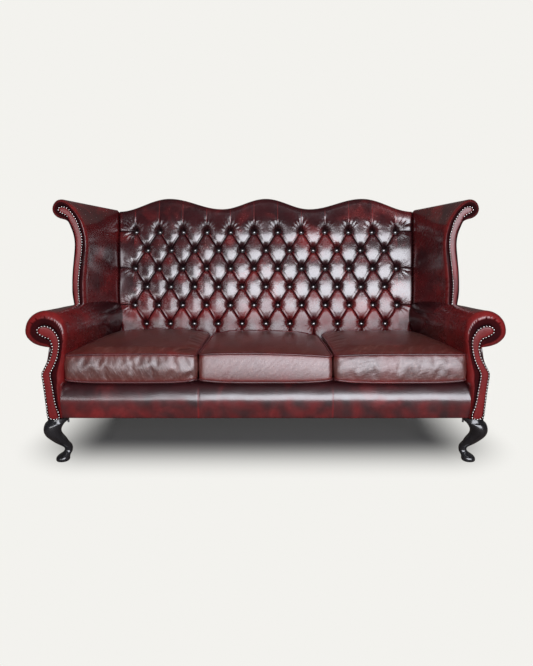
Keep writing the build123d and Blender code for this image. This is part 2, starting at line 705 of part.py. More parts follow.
def front_leg():
    """A cabriole leg: knee out, ankle in, pad foot, lofted along its height."""
    y = arm_front + leg_width / 2
    faces = []
    for height, out, wide in leg_shares:
        across = wide * leg_width
        place = Pos(-leg_x - out * leg_width, y - out * leg_width + facing_half, height * rail_bottom)
        faces.append(place * RectangleRounded(across, across, 0.46 * across))
    return loft(faces, ruled=False) & block(-half_width, 0, -half_width, 0, 0, rail_bottom)


def rear_leg():
    """A square tapered leg raked back from the rear corner."""
    y = back_depth_y(frame_front, rail_bottom) + rear_leg_set
    x = -(post_in + post_out) / 2 - rear_leg_set
    faces = []
    for height, back in ((1, 0), (0.5, 0.35), (0, 1)):
        across = rear_leg_foot + (rear_leg_top - rear_leg_foot) * height
        faces.append(Pos(x, y + back * rear_leg_rake, height * rail_bottom)
                     * RectangleRounded(across, across, rear_leg_round))
    return loft(faces, ruled=False)


def legs():
    """Legs, corner blocks and the bolts that draw the legs up to the blocks."""
    rail_y = arm_front + facing_half + arm_board_thickness + board
    rear_y = back_depth_y(frame_front, rail_bottom)
    inner_front = -(base_x - panel - board)
    front = block(inner_front, inner_front + corner_block, rail_y, rail_y + corner_block,
                  rail_bottom, rail_top) - parts["left_seat_rail"]
    inner_rear = arm_side(rear_y - corner_block, panel + board)[3][0]
    rear = block(inner_rear, inner_rear + corner_block, rear_y - corner_block, rear_y,
                 rail_bottom, rail_top) - parts["left_seat_rail"]
    reach = bolt_diameter + gap
    bolt_places = [(inner_front + 2.6 * reach, rail_y + 1.4 * reach),
                   (-(post_in + post_out) / 2 + 0.2 * reach, rear_y - 1.2 * reach)]
    bolts = [Pos(x, y, rail_bottom) * Cylinder(bolt_diameter / 2, bolt_length)
             for x, y in bolt_places]
    blocks = [front - bolts[0], rear - bolts[1]]
    feet = {"front_leg": front_leg() - bolts[0], "rear_leg": rear_leg() - bolts[1]}
    for name, foot in feet.items():
        parts["left_" + name] = foot
        parts["right_" + name] = mirror(foot, about=Plane.YZ)
    for name, pair in (("corner_blocks", blocks), ("leg_bolts", bolts)):
        parts[name] = Compound(children=pair + [mirror(piece, about=Plane.YZ) for piece in pair])


def dust_cloth():
    """Thin cloth under the frame, cut away round the legs."""
    front_y, rear_y = arm_front + cloth_edge + border_front, back_depth_y(frame_back, rail_bottom)
    corners = [arm_side(y, cloth_edge)[3][0] for y in (front_y, rear_y)]
    ys = (front_y, rear_y - cloth_edge)
    plan = Polyline((corners[0], ys[0]), (-corners[0], ys[0]), (-corners[1], ys[1]),
                    (corners[1], ys[1]), close=True)
    cloth = extrude(Pos(0, 0, rail_bottom - cloth_thickness) * make_face(plan), amount=cloth_thickness)
    solids = [parts["leg_bolts"]]
    for side in ("left", "right"):
        for name in ("_front_leg", "_rear_leg"):
            box = parts[side + name].bounding_box()
            solids.append(block(box.min.X, box.max.X, box.min.Y, box.max.Y, 0, rail_top))
    parts["dust_cloth"] = cloth - solids


def build():
    """Make every piece."""
    parts["inside_back"] = back_place * inside_back()
    parts["back_buttons"] = back_place * buttons()
    back_frame()
    core, rear = back_core(), behind_back()
    arm_pieces, arm_whole = arms(core, rear)
    wing_pieces = wings(core, arm_whole, arm_pieces)
    for pieces in (arm_pieces, wing_pieces):
        for name, piece in pieces.items():
            parts["left_" + name] = piece
            parts["right_" + name] = mirror(piece, about=Plane.YZ)
    seat_frame()
    legs()
    dust_cloth()
    cushions()


build()
os.makedirs("parts", exist_ok=True)
for name, piece in parts.items():
    export_step(piece, "parts/" + name + ".step")
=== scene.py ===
"""Dresses the wing sofa: buttoned leather back, rolled arms, wings, cushions, nails, legs and stage."""

import math

import bmesh
import bpy
import numpy as np
from bpy.props import FloatProperty, FloatVectorProperty, IntProperty, PointerProperty
from mathutils import Matrix, Vector, noise


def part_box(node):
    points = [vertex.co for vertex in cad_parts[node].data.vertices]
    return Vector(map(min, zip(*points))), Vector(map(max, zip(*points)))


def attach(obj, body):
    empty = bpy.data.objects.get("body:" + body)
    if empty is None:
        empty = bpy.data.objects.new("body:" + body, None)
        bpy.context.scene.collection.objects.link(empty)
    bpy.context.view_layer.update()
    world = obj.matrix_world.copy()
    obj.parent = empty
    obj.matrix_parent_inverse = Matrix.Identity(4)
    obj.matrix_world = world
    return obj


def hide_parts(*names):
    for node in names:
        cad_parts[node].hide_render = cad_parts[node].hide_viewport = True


bl_info = {
    "name": "Buttoned wing sofa",
    "version": (1, 0, 0),
    "blender": (4, 5, 0),
    "location": "3D View > Sidebar > Sofa",
    "description": "Upholstery, trim, finishes and stage for a three-seat wing sofa",
    "category": "Object",
}

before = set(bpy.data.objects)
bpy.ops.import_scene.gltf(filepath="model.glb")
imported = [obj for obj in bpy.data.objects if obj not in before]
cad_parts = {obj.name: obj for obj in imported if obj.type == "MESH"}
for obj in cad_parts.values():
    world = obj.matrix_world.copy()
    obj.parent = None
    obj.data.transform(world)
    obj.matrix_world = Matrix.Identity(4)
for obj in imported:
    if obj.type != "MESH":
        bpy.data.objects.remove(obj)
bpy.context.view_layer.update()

# Places and sizes in millimetres

MM = 0.001
SIDES = (("left", 1), ("right", -1))
LEAN = math.radians(15.1)
BACK_Y = 124.6                            # face of the back at the height from which it is measured
BACK_DATUM = 460.0
BACK_HALF, BACK_HALF_TOP = 745.0, 760.0   # half the inside back at that height, and at its ends
BACK_END = 634.0                          # height up the back of the ends
FRAME_BACK = 100.0                        # depth of the frame's rear behind the face
STUFFING_BACK = FRAME_BACK - 0.6          # depth at which the arms and wings meet the outside back
PANEL_BACK, PANEL_HALF = 112.0, 812.0     # depth and half the width of the outside back
ARM_FRONT, WING_FRONT = -401.4, -64.4
ROLL_ACROSS, ROLL_UP = -879.0, 560.0      # middle of the arm's roll
ARM_FOOT = 336.0                          # foot of the arm's inner side
WING_FOOT = 560.0
RAIL_BOTTOM = 197.0
DECK_TOP = 352.0
SEAT_HALF = 812.0                         # half the seat between the arms, at their front
SEAT_TAPER = 70.2                         # how much that half is less at the back
SPLAY = math.tan(math.radians(7.6))       # how far the arm comes in for each step back
NECK_RATE = 0.086                         # the same under the roll
NAIL_PITCH, NAIL_RADIUS = 11.8, 4.2
BUTTON_RADIUS = 11.0
PIPING = 4.4                              # radius of the cushions' piping
BORDER_HALF, BORDER_SEAM = 846.0, 276.0   # ends and seams of the border under the cushions

# The mesh of the buttoned sheet: squares from button to button, beside and below the lattice of
# folds, from its middle to its side, and under its lowest row

STEPS = 28
SHEET_SIDE, SHEET_FOOT, SHEET_REACH, SHEET_LOW = 14, 6, 160, 9


# Shapes

def xyz(x, y, z):
    """Points from three coordinates, each a number or an array."""
    return np.stack(np.broadcast_arrays(x, y, z), axis=-1)


def back_points(x, up, out):
    """Points of the leaning back, from across, up the back and out of it."""
    return xyz(x, BACK_Y + up * math.sin(LEAN) - out * math.cos(LEAN),
               BACK_DATUM + up * math.cos(LEAN) + out * math.sin(LEAN))


def back_y_at(depth, height):
    """The y of a plane of the back at a depth and a height."""
    return BACK_Y + (height - BACK_DATUM) * math.tan(LEAN) + depth / math.cos(LEAN)


def smoothstep(value, low, high):
    """Goes smoothly from 0 at one value to 1 at another."""
    t = np.clip((value - low) / (high - low), 0, 1)
    return t * t * (3 - 2 * t)


def hump(value, centre, width):
    """A smooth hump, 1 at its centre."""
    return np.exp(-((value - centre) / width) ** 2)


def quarter(t):
    """The fall of a quarter round, from 0 to 1 as t does."""
    return 1 - np.sqrt(1 - t ** 2)


def from_whole(value):
    """How far a value is from the nearest whole number."""
    return value - np.round(value)


def unit(vectors):
    """The vectors' directions, each of length 1."""
    return vectors / np.linalg.norm(vectors, axis=1, keepdims=True)


def runs(path):
    """The way a closed path runs at each of its points."""
    return np.roll(path, -1, axis=0) - np.roll(path, 1, axis=0)


def outward(run):
    """Level directions out of a closed path, from the way it runs."""
    return unit(xyz(run[:, 1], -run[:, 0], 0))


def through(points, count, closed=False):
    """A smooth line through the points, as count points evenly spaced along it."""
    p = np.array(points, float)
    if closed:
        p = np.vstack([p[-1], p, p[0], p[1]])
    else:
        p = np.vstack([2 * p[0] - p[1], p, 2 * p[-1] - p[-2]])
    t = np.linspace(0, 1, 24, endpoint=False)[:, None]
    line = [0.5 * (2 * b + (c - a) * t + (2 * a - 5 * b + 4 * c - d) * t ** 2
                   + (3 * b - a - 3 * c + d) * t ** 3) for a, b, c, d in zip(p, p[1:], p[2:], p[3:])]
    line = np.vstack(line + [p[-2:-1]])
    length = np.concatenate([[0], np.cumsum(np.linalg.norm(np.diff(line, axis=0), axis=1))])
    places = np.linspace(0, length[-1], count, endpoint=not closed)
    return np.stack([np.interp(places, length, column) for column in line.T], axis=-1)


def evenly(points, pitch, closed=False):
    """A smooth line through the points, as points about a pitch apart."""
    line = np.vstack([points, points[:1]]) if closed else points
    count = int(round(np.linalg.norm(np.diff(line, axis=0), axis=1).sum() / pitch))
    return through(points, count if closed else count + 1, closed)


def ruffle(points, size, seed):
    """Smooth noise at each point, between about -1 and 1."""
    shift = Vector((seed * 3.7, seed * 1.3, seed * 7.1))
    values = [noise.noise(Vector(p) + shift) for p in points.reshape(-1, 3) / size]
    return np.array(values).reshape(points.shape[:-1])


def skin(rings, around=True, capped=True, marks=None, crossed=None):
    """A grid bent over rings of points in millimetres, with its seam welded and its ends closed.

    Where crossed is given, squares are split, along the falling diagonal where it says so."""
    rows, columns = rings.shape[:2]
    wide = columns if around else columns - 1
    bm = bmesh.new()
    bmesh.ops.create_grid(bm, x_segments=wide, y_segments=rows - 1, size=0.5)
    layers = {name: bm.verts.layers.float.new(name) for name in (marks or {})}
    places = {vert: (round((vert.co.x + 0.5) * wide), round((vert.co.y + 0.5) * (rows - 1)))
              for vert in bm.verts}
    for face in list(bm.faces) if crossed else ():
        corners = sorted(face.verts, key=places.get)
        ends = corners[1:3] if crossed(*places[corners[0]]) else (corners[0], corners[3])
        bmesh.utils.face_split(face, *ends)
    for vert, (i, j) in places.items():
        i %= columns
        vert.co = rings[j, i] * MM
        for name, layer in layers.items():
            vert[layer] = marks[name][j, i]
    bmesh.ops.remove_doubles(bm, verts=bm.verts, dist=1e-6)
    if capped:
        bmesh.ops.holes_fill(bm, edges=[edge for edge in bm.edges if edge.is_boundary])
    return bm


def join(parts):
    """One bmesh out of several, which are used up."""
    whole = bmesh.new()
    for bm in parts:
        mesh = bpy.data.meshes.new("part")
        bm.to_mesh(mesh)
        bm.free()
        whole.from_mesh(mesh)
        bpy.data.meshes.remove(mesh)
    return whole


def finish_mesh(bm, name, side=1):
    """Turns a bmesh into a smooth piece; side -1 makes it the mirror image."""
    if side < 0:
        bmesh.ops.scale(bm, vec=(-1, 1, 1), verts=bm.verts)
    bmesh.ops.recalc_face_normals(bm, faces=bm.faces)
    mesh = bpy.data.meshes.new(name)
    bm.to_mesh(mesh)
    bm.free()
    mesh.shade_smooth()
    piece = bpy.data.objects.new(name, mesh)
    bpy.context.scene.collection.objects.link(piece)
    return piece


def dress(piece, material, body="frame", nodes=()):
    """Gives a piece its finish, its body and the solids that it stands for."""
    piece.data.materials.clear()
    piece.data.materials.append(material)
    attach(piece, body)
    if nodes:
        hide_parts(*nodes)


# Materials

def feed(tree, node, inputs):
    """Links or sets a node's sockets, given by their names or numbers."""
    for key, value in inputs.items():
        if isinstance(value, bpy.types.NodeSocket):
            tree.links.new(value, node.inputs[key])
        else:
            node.inputs[key].default_value = value


def add_node(tree, kind, inputs, output=0, **settings):
    """Adds a shader node with its settings and inputs, and gives the output that is wanted."""
    node = tree.nodes.new("ShaderNode" + kind)
    for name, value in settings.items():
        setattr(node, name, value)
    feed(tree, node, inputs)
    return node.outputs[output]


def object_place(tree):
    """Places on a piece, in its own coordinates."""
    return add_node(tree, "TexCoord", {}, "Object")


def attribute(tree, name):
    """A mark that the mesh carries."""
    return add_node(tree, "Attribute", {}, "Fac", attribute_name=name)


def noise_node(tree, place, scale, detail=3.0, roughness=0.5, distortion=0.0):
    return add_node(tree, "TexNoise", {"Vector": place, "Scale": scale, "Detail": detail,
                                       "Roughness": roughness, "Distortion": distortion}, "Fac")


def math_node(tree, operation, a, b, clamp=False):
    return add_node(tree, "Math", {0: a, 1: b}, operation=operation, use_clamp=clamp)


def plus(tree, a, b, clamp=False):
    return math_node(tree, "ADD", a, b, clamp)


def times(tree, a, b):
    return math_node(tree, "MULTIPLY", a, b)


def vector_node(tree, operation, a, b=(0, 0, 0), output="Vector"):
    return add_node(tree, "VectorMath", {0: a, 1: b}, output, operation=operation)


def mix_colour(tree, factor, a, b):
    """From one colour to another; 6, 7 and 2 are the Mix node's colour sockets."""
    return add_node(tree, "Mix", {0: factor, 6: a, 7: b}, 2, data_type="RGBA")


def mix_shaders(tree, factor, a, b):
    return add_node(tree, "MixShader", {0: factor, 1: a, 2: b})


def ramp(tree, value, low, high):
    """Goes smoothly from 0 at one value to 1 at another."""
    return add_node(tree, "MapRange", {"Value": value, "From Min": low, "From Max": high},
                    interpolation_type="SMOOTHSTEP")


def bump(tree, height, strength, distance, normal=None):
    inputs = {"Height": height, "Strength": strength, "Distance": distance}
    if normal is not None:
        inputs["Normal"] = normal
    return add_node(tree, "Bump", inputs)


def leather_group():
    """Colour, roughness and grain of antiqued leather: painted shade in the folds, which also takes their
    shine away, and rubbed red on the edges.
    """
    tree = bpy.data.node_groups.new("antiqued leather", "ShaderNodeTree")
    sockets = {"INPUT": {"Vector": "Vector", "Colour": "Color", "Shade": "Color", "Rub": "Color",
                         "Fold": "Float", "Wear": "Float", "Patches": "Float", "Roughness": "Float",
                         "Gather": "Float"},
               "OUTPUT": {"Colour": "Color", "Roughness": "Float", "Normal": "Vector", "Open": "Float"}}
    for way, kinds in sockets.items():
        for name, kind in kinds.items():
            tree.interface.new_socket(name, in_out=way, socket_type="NodeSocket" + kind)
    given, result = tree.nodes.new("NodeGroupInput").outputs, tree.nodes.new("NodeGroupOutput")
    place = given["Vector"]
    clouds = ramp(tree, noise_node(tree, place, 9.0, 4.0, 0.6), 0.35, 0.7)
    patches = ramp(tree, noise_node(tree, place, 7.0, 3.0, 0.55, 0.4), 0.5, 0.72)
    scuffs = ramp(tree, noise_node(tree, place, 60.0, 3.0, 0.7), 0.3, 0.75)
    worn = plus(tree, times(tree, patches, given["Patches"]), given["Wear"], clamp=True)
    worn = times(tree, worn, plus(tree, times(tree, scuffs, 0.3), 0.7))
    colour = mix_colour(tree, times(tree, clouds, 0.45), given["Colour"], given["Shade"])
    colour = mix_colour(tree, worn, colour, given["Rub"])
    # painted shade: the Fold mark mixes in the shade colour where shade falls in creases, pits and gaps
    colour = mix_colour(tree, given["Fold"], colour, given["Shade"])
    rough = plus(tree, given["Roughness"], times(tree, scuffs, 0.06))
    rough = plus(tree, rough, times(tree, worn, 0.10), clamp=True)
    # painted shade: the Fold mark also takes the shine out of the coat and the specular; real wear takes out
    # some of it too
    painted_shade_and_wear = plus(tree, given["Fold"], times(tree, given["Wear"], 0.6))
    cells = add_node(tree, "TexVoronoi", {"Vector": place, "Scale": 420.0}, "Distance", feature="SMOOTH_F1")
    grain = bump(tree, cells, 0.05, 0.0005)
    creased = bump(tree, noise_node(tree, place, 55.0, 5.0, 0.6, 1.2), 0.07, 0.0018, grain)
    feed(tree, result, {"Colour": colour, "Roughness": rough,
                        "Open": math_node(tree, "SUBTRACT", 1.0, painted_shade_and_wear, True),
                        "Normal": bump(tree, given["Gather"], 1.0, 0.006, creased)})
    return tree


def gathers(tree):
    """Height of fine folds that run out from each button."""
    across = add_node(tree, "CombineXYZ", {"X": attribute(tree, "near_x"), "Y": attribute(tree, "near_up")})
    toward = vector_node(tree, "NORMALIZE", across)
    away = vector_node(tree, "LENGTH", across, output="Value")
    lift = add_node(tree, "CombineXYZ", {"Z": times(tree, away, 0.35)})
    folds = noise_node(tree, vector_node(tree, "ADD", toward, lift), 6.5, 2.0, 0.6)
    return times(tree, folds, attribute(tree, "gather"))


def stretched(tree, rotation, scale):
    """Places turned and stretched, for a pattern that runs long one way."""
    return add_node(tree, "Mapping", {"Vector": object_place(tree), "Rotation": rotation, "Scale": scale},
                    vector_type="TEXTURE")


def creases(tree, lean):
    """Height of creases on the cushions' fronts that lean by so many degrees."""
    place = stretched(tree, (0, math.radians(lean), 0), (0.2, 1.0, 0.9))
    return noise_node(tree, place, 16.0, 4.0, 0.62, 0.8)


def scratches(tree):
    """Strength of long slanting scratches."""
    place = stretched(tree, (0, 0, math.radians(58)), (2.0, 0.11, 0.17))
    return times(tree, ramp(tree, noise_node(tree, place, 14.0, 4.0, 0.7), 0.54, 0.64), 0.4)


def principled(name, roughness, metallic=0.0, coat=0.0, coat_roughness=0.1, coat_ior=1.6, specular=0.5):
    """A new material, its nodes and its shader."""
    material = bpy.data.materials.new(name)
    material.use_nodes = True
    tree = material.node_tree
    shader = tree.nodes["Principled BSDF"]
    feed(tree, shader, {"Roughness": roughness, "Metallic": metallic, "Coat Weight": coat,
                        "Coat Roughness": coat_roughness, "Coat IOR": coat_ior,
                        "Specular IOR Level": specular})
    return material, tree, shader


def antiqued(name, colour, patches, roughness, rub="rub", coat=0.9, coat_roughness=0.12, coat_ior=1.6,
             specular=0.95, marked=True, gathering=False, lean=None):
    """Leather in colours of the panel, with painted shade in its folds and its wear marked, gathered, or
    creased at a lean.
    """
    s = bpy.context.scene.sofa_leather
    material, tree, shader = principled(name, roughness, 0.0, coat, coat_roughness, coat_ior, specular)
    grain = tree.nodes.new("ShaderNodeGroup")
    grain.node_tree = bpy.data.node_groups.get("antiqued leather") or leather_group()
    feed(tree, grain, {"Vector": object_place(tree), "Colour": (*getattr(s, colour), 1),
                       "Shade": (*s.shade, 1), "Rub": (*getattr(s, rub), 1), "Patches": patches,
                       "Roughness": roughness})
    if marked:
        # painted shade comes in by the mesh's fold mark; real wear comes in by its wear mark
        feed(tree, grain, {"Fold": attribute(tree, "fold"), "Wear": attribute(tree, "wear")})
        shown = grain.outputs["Open"]
        feed(tree, shader, {"Coat Weight": times(tree, shown, coat),
                            "Specular IOR Level": times(tree, shown, specular)})
    if gathering:
        feed(tree, grain, {"Gather": gathers(tree)})
    colour, normal = grain.outputs["Colour"], grain.outputs["Normal"]
    if lean is not None:
        colour = mix_colour(tree, scratches(tree), colour, (0.26, 0.12, 0.10, 1))
        normal = bump(tree, creases(tree, lean), 0.65, 0.004, normal)
    feed(tree, shader, {"Base Color": colour, "Roughness": grain.outputs["Roughness"], "Normal": normal})
    return material


LEATHERS = {
    "oxblood": dict(colour="colour", patches=0.5, roughness=0.21),
    "buttoned": dict(colour="colour", patches=0.55, roughness=0.20, gathering=True),
    "facing": dict(colour="facing", patches=0.6, roughness=0.30, coat=0.5, coat_roughness=0.16, specular=0.5),
    "border": dict(colour="colour", patches=0.5, roughness=0.30, coat_roughness=0.25),
    "piping": dict(colour="piping", patches=0.6, roughness=0.35, coat=0.3, specular=0.5, marked=False),
    "button": dict(colour="shade", patches=0.1, roughness=0.12, rub="colour", coat=1.0, coat_roughness=0.04,
                   coat_ior=2.1, marked=False)}
LEATHERS |= {f"{side} cushion": dict(colour="cushion", patches=0.25, roughness=rough + 0.04, coat=1.0,
                                     coat_roughness=rough, lean=lean)
             for side, rough, lean in (("left", 0.34, -28), ("middle", 0.30, 40), ("right", 0.34, 78))}


def leather(kind):
    """One of the leathers of the table, made once."""
    name = f"{kind} leather finish"
    return bpy.data.materials.get(name) or antiqued(name, **LEATHERS[kind])


def nail_metal():
    """Pewter, tarnished in patches, made once."""
    if "pewter nails" in bpy.data.materials:
        return bpy.data.materials["pewter nails"]
    material, tree, shader = principled("pewter nails", 0.3, metallic=1.0)
    place = object_place(tree)
    tarnish = ramp(tree, noise_node(tree, place, 45.0, 4.0, 0.6), 0.35, 0.75)
    feed(tree, shader, {"Base Color": mix_colour(tree, tarnish, (0.72, 0.70, 0.68, 1), (0.36, 0.33, 0.30, 1)),
                        "Roughness": plus(tree, times(tree, tarnish, 0.15), 0.15),
                        "Normal": bump(tree, noise_node(tree, place, 600.0), 0.1, 0.0003)})
    return material


def bolt_steel():
    """Plain mottled steel."""
    material, tree, shader = principled("bolt steel", 0.35, metallic=1.0)
    mottle = noise_node(tree, object_place(tree), 90.0)
    feed(tree, shader, {"Base Color": mix_colour(tree, mottle, (0.55, 0.55, 0.57, 1), (0.35, 0.35, 0.37, 1))})
    return material


def timber(name, light, dark, scale, roughness, coat=0.0, figure=0.0015):
    """Straight-grained timber with pores and slow figure."""
    material, tree, shader = principled(name, roughness, coat=coat, coat_roughness=0.06)
    place = add_node(tree, "Mapping", {"Vector": object_place(tree), "Scale": (1, 1, 0.12)})
    rings = noise_node(tree, place, scale, 5.0, 0.55, 0.6)
    pores = noise_node(tree, place, scale * 9, 3.0, 0.7)
    both = plus(tree, times(tree, rings, 0.7), times(tree, pores, 0.3))
    feed(tree, shader, {"Base Color": mix_colour(tree, ramp(tree, both, 0.35, 0.68), (*light, 1), (*dark, 1)),
                        "Roughness": plus(tree, times(tree, pores, 0.12), roughness - 0.05),
                        "Normal": bump(tree, both, 0.15, figure)})
    return material


def woven(name, warp, weft, threads):
    """Plain weave: two crossing sets of threads."""
    material, tree, shader = principled(name, 0.85, specular=0.2)
    place = object_place(tree)
    wave = {"Vector": place, "Scale": threads, "Distortion": 0.4, "Detail Scale": 3.0}
    heights = [add_node(tree, "TexWave", wave, "Fac", bands_direction=way) for way in ("X", "Y")]
    colour = mix_colour(tree, math_node(tree, "GREATER_THAN", *heights), (*warp, 1), (*weft, 1))
    slub = times(tree, noise_node(tree, place, threads * 1.5), 0.35)
    feed(tree, shader, {"Base Color": mix_colour(tree, slub, colour, (*[c * 0.4 for c in warp], 1)),
                        "Normal": bump(tree, math_node(tree, "MAXIMUM", *heights), 0.5, 0.0008)})
    return material


# Outlines of the left side, seen from the front: across and height in millimetres

ARM_LIP = [   # nail line, then the full stuffed outline level with it
    (-843, 200, -840, 200), (-853, 268, -839, 268), (-860, 335, -833, 335), (-863, 366, -823, 352),
    (-864, 385, -820, 376), (-860, 400, -817, 402), (-850, 418, -813, 432), (-834, 453, -808, 466),
    (-825, 485, -802, 500), (-821, 515, -797, 530), (-821, 538, -794, 556), (-828, 559, -798, 588),
    (-842, 578, -812, 614), (-860, 590, -838, 636), (-879, 594, -879, 646), (-896, 587, -921, 635),
    (-906, 575, -952, 606), (-908, 562, -965, 568), (-903, 553, -961, 540), (-893, 545, -940, 516),
    (-883, 538, -915, 504), (-872, 533, -895, 499), (-862, 527, -880, 497), (-856, 517, -872, 496),
    (-854, 505, -868, 496)]
ARM_FACING = [   # inner edge, outer edge
    (-840, 198.5, -895, 198.5), (-853, 268, -899, 268), (-860, 340, -902, 340), (-864, 389, -905, 389),
    (-851, 417, -894, 412), (-834, 453, -877, 439), (-824, 488, -863.5, 466), (-820, 517, -856, 493),
    (-822, 545, -857, 512), (-840, 577, -864, 529), (-866, 593, -880, 536), (-890, 590, -896, 547),
    (-905, 576, -905, 559)]
WING_LIP = [   # nail line or facing edge, full outline, and how far its root has turned over the back
    (-854, 560, -829, 560, 0), (-854, 634, -829, 634, 0), (-853, 718, -826, 718, 0),
    (-847, 762, -821, 760, 0), (-837, 818, -813, 815, 0), (-827, 869, -805, 868, 0),
    (-823, 906, -802, 910, 0), (-823, 940, -804, 945, 0), (-829, 969, -809, 977, 0),
    (-836, 999, -818, 1005, 0), (-848, 1025, -833, 1033, 0), (-860, 1044, -851, 1060, 0),
    (-876, 1062, -874, 1083, 0.12), (-890, 1071, -893, 1096, 0.25), (-903, 1075, -912, 1101, 0.4),
    (-915, 1071, -932, 1097, 0.5), (-923, 1064, -947, 1083, 0.6), (-926, 1056, -955, 1065, 0.68),
    (-924, 1047, -955, 1047, 0.76), (-916, 1040, -946, 1030, 0.84), (-905, 1033, -930, 1019, 0.9),
    (-893, 1027, -912, 1014, 0.95), (-886, 1018, -897, 1009, 1), (-880, 1004, -884, 1000, 1),
    (-873, 985, -877, 985, 1), (-863, 955, -867, 955, 1), (-859, 926, -862, 926, 1),
    (-860, 889, -863, 889, 1), (-873, 805, -876, 805, 1), (-881, 740, -884, 740, 1),
    (-885, 683, -888, 683, 1), (-880, 619, -883, 619, 1), (-880, 560, -883, 560, 1)]
WING_FACING = [   # inner edge, outer edge
    (-854, 560, -881, 560), (-854, 634, -881, 634), (-853, 718, -885, 700), (-847, 762, -883, 745),
    (-837, 818, -875, 805), (-827, 869, -863, 868), (-823, 906, -860, 905), (-823, 940, -860, 930),
    (-829, 969, -864, 957), (-836, 999, -871, 978), (-848, 1025, -878, 993), (-862, 1046, -882, 1008),
    (-880, 1065, -886, 1019), (-898, 1073, -896, 1028), (-913, 1071, -907, 1035),
    (-921, 1063, -916, 1043), (-923, 1056, -921, 1051)]
WING_ROOT = np.array([   # how far it has turned over the back, across, and height up the back
    (0, -760.6, 608), (0.12, -760.6, 628), (0.2, -761.5, 632.5), (0.28, -766, 634), (0.5, -786, 634),
    (0.66, -799, 630), (0.8, -807.5, 622), (1, -811, 608)])


def lip_rings(nail, full, front, count, proud, deep):
    """Outlines of a rounded lip, from behind the nails out to the full stuffing.

    Each comes with its y and with how far round the lip it is."""
    for y in (front + 4, front - 1):
        yield nail, y, 0
    for t in np.linspace(0.12, 1, count):
        y = front - 1 - proud * math.sin(math.pi * t) ** 0.8 + deep * (1 - math.cos(t * math.pi / 2))
        yield nail + (full - nail) * math.sin(t * math.pi / 2) ** 0.85, y, t


def arm_rings():
    """Rings of the left arm from the nail line over the lip to the back."""
    lip = through(ARM_LIP, 132)
    inside = through([(-852, 480), (-850, 440), (-848, 400), (-848, 360), (-848, ARM_FOOT)], 9)
    nail, full = lip[:, :2], lip[:, 2:]
    height = full[:, 1]
    neck = smoothstep(np.arange(len(lip)), 95, 131)
    rate = np.concatenate([SPLAY + (NECK_RATE - SPLAY) * neck, np.full(9, SPLAY)])
    droop, angle, rolled = (np.concatenate([values, np.zeros(9)]) for values in (
        0.03 * smoothstep(height, 400, 540) * (1 - neck),
        np.arctan2(height - ROLL_UP, full[:, 0] - ROLL_ACROSS),
        smoothstep(height, 440, 520) * (1 - neck)))
    rings = []
    for outline, y, t in lip_rings(nail, full, ARM_FRONT, 9, 6, 32):
        flat = np.vstack([outline, inside + (0, 0 if t else 10)])
        gather = 1.3 * math.sin(math.pi * min(1, t * 1.1)) * np.sin(angle * 46) * rolled
        rings.append(xyz(flat[:, 0], y + gather, flat[:, 1]))
    start, base = rings[-1][:, 1], np.vstack([full, inside])
    z = np.maximum(base[:, 1], ARM_FOOT)
    y_end = back_y_at(STUFFING_BACK, z)
    for w in np.concatenate([[0.004, 0.012, 0.03], np.linspace(0.06, 1, 34)]):
        y = start + w * (y_end - start)
        ring = xyz(base[:, 0] + rate * (y - start), y, z - droop * (y - ARM_FRONT))
        swell = 1.5 * ruffle(ring, 90.0, 3) * rolled * smoothstep(y, ARM_FRONT + 30, ARM_FRONT + 90)
        ring[:, 0] += swell * np.cos(angle)
        ring[:, 2] += swell * np.sin(angle)
        rings.append(ring)
    return np.stack(rings)


def wing_rings():
    """Rings of the left wing from the nail line over the lip to the back."""
    line = through(WING_LIP, 150)
    nail, full, turn = line[:, :2], line[:, 2:4], line[:, 4].clip(0, 1)
    height, inner = full[:, 1], turn <= 0
    top = WING_ROOT[0, 2]
    low = (WING_FOOT - BACK_DATUM) / math.cos(LEAN)
    inner_up, outer_up = (low + (top - low) * np.clip((height - WING_FOOT) / (high - WING_FOOT), 0, 1)
                          for high in (1083, 1009))
    over_x, over_up = (np.interp(turn, WING_ROOT[:, 0], WING_ROOT[:, k]) for k in (1, 2))
    root_up = np.where(inner, inner_up, np.where(turn >= 1, outer_up, over_up))
    root_x = np.where(inner, -back_half(root_up) - 0.8, over_x)
    rings = [xyz(outline[:, 0], y, outline[:, 1])
             for outline, y, _ in lip_rings(nail, full, WING_FRONT, 8, 4, 24)]
    start, front = rings[-1], back_points(root_x, root_up, 0)
    rear = back_points(root_x, root_up, -STUFFING_BACK)
    for w in np.linspace(0.03, 1, 26):
        ring = start + (front - start) * w
        ring[:, 0] -= 5 * (math.sin(math.pi * w) * inner * smoothstep(height, 1083, 900))
        rings.append(ring)
    rings += [front + (rear - front) * w for w in np.linspace(0.12, 1, 7)]
    return np.stack(rings)


def outside_arm_rings():
    """Rings of the left outside arm panel, from its front edge to the back."""
    outer = through([(-868, 497), (-881, 443), (-905, 389), (-903, 300), (-897, 205), (-894, 198)], 40)
    inner = outer[::-1] + (8, 0)
    loop = np.vstack([outer, [(-880, 197.2), (-865, 197.2)], inner[2:]])
    x, z = loop.T
    outside = np.arange(len(loop)) < len(outer)
    bulge = 5 * np.sin(np.pi * np.clip((497 - z) / 300, 0, 1)) * outside
    rate = (np.abs(x) - PANEL_HALF) / (back_y_at(PANEL_BACK, z) - ARM_FRONT)
    y_end = back_y_at(STUFFING_BACK, z)
    rings = []
    for w in np.concatenate([[0, 0.004, 0.012], np.linspace(0.03, 0.985, 30), [0.995, 1]]):
        y = ARM_FRONT + 2 + w * (y_end - ARM_FRONT - 2)
        tuck = (5 if w > 0.5 else 1) * quarter(1 - min(1, w / 0.03, (1 - w) / 0.03)) * outside
        rings.append(xyz(x + rate * (y - ARM_FRONT) + tuck - bulge * math.sin(math.pi * w), y, z))
    return np.stack(rings)


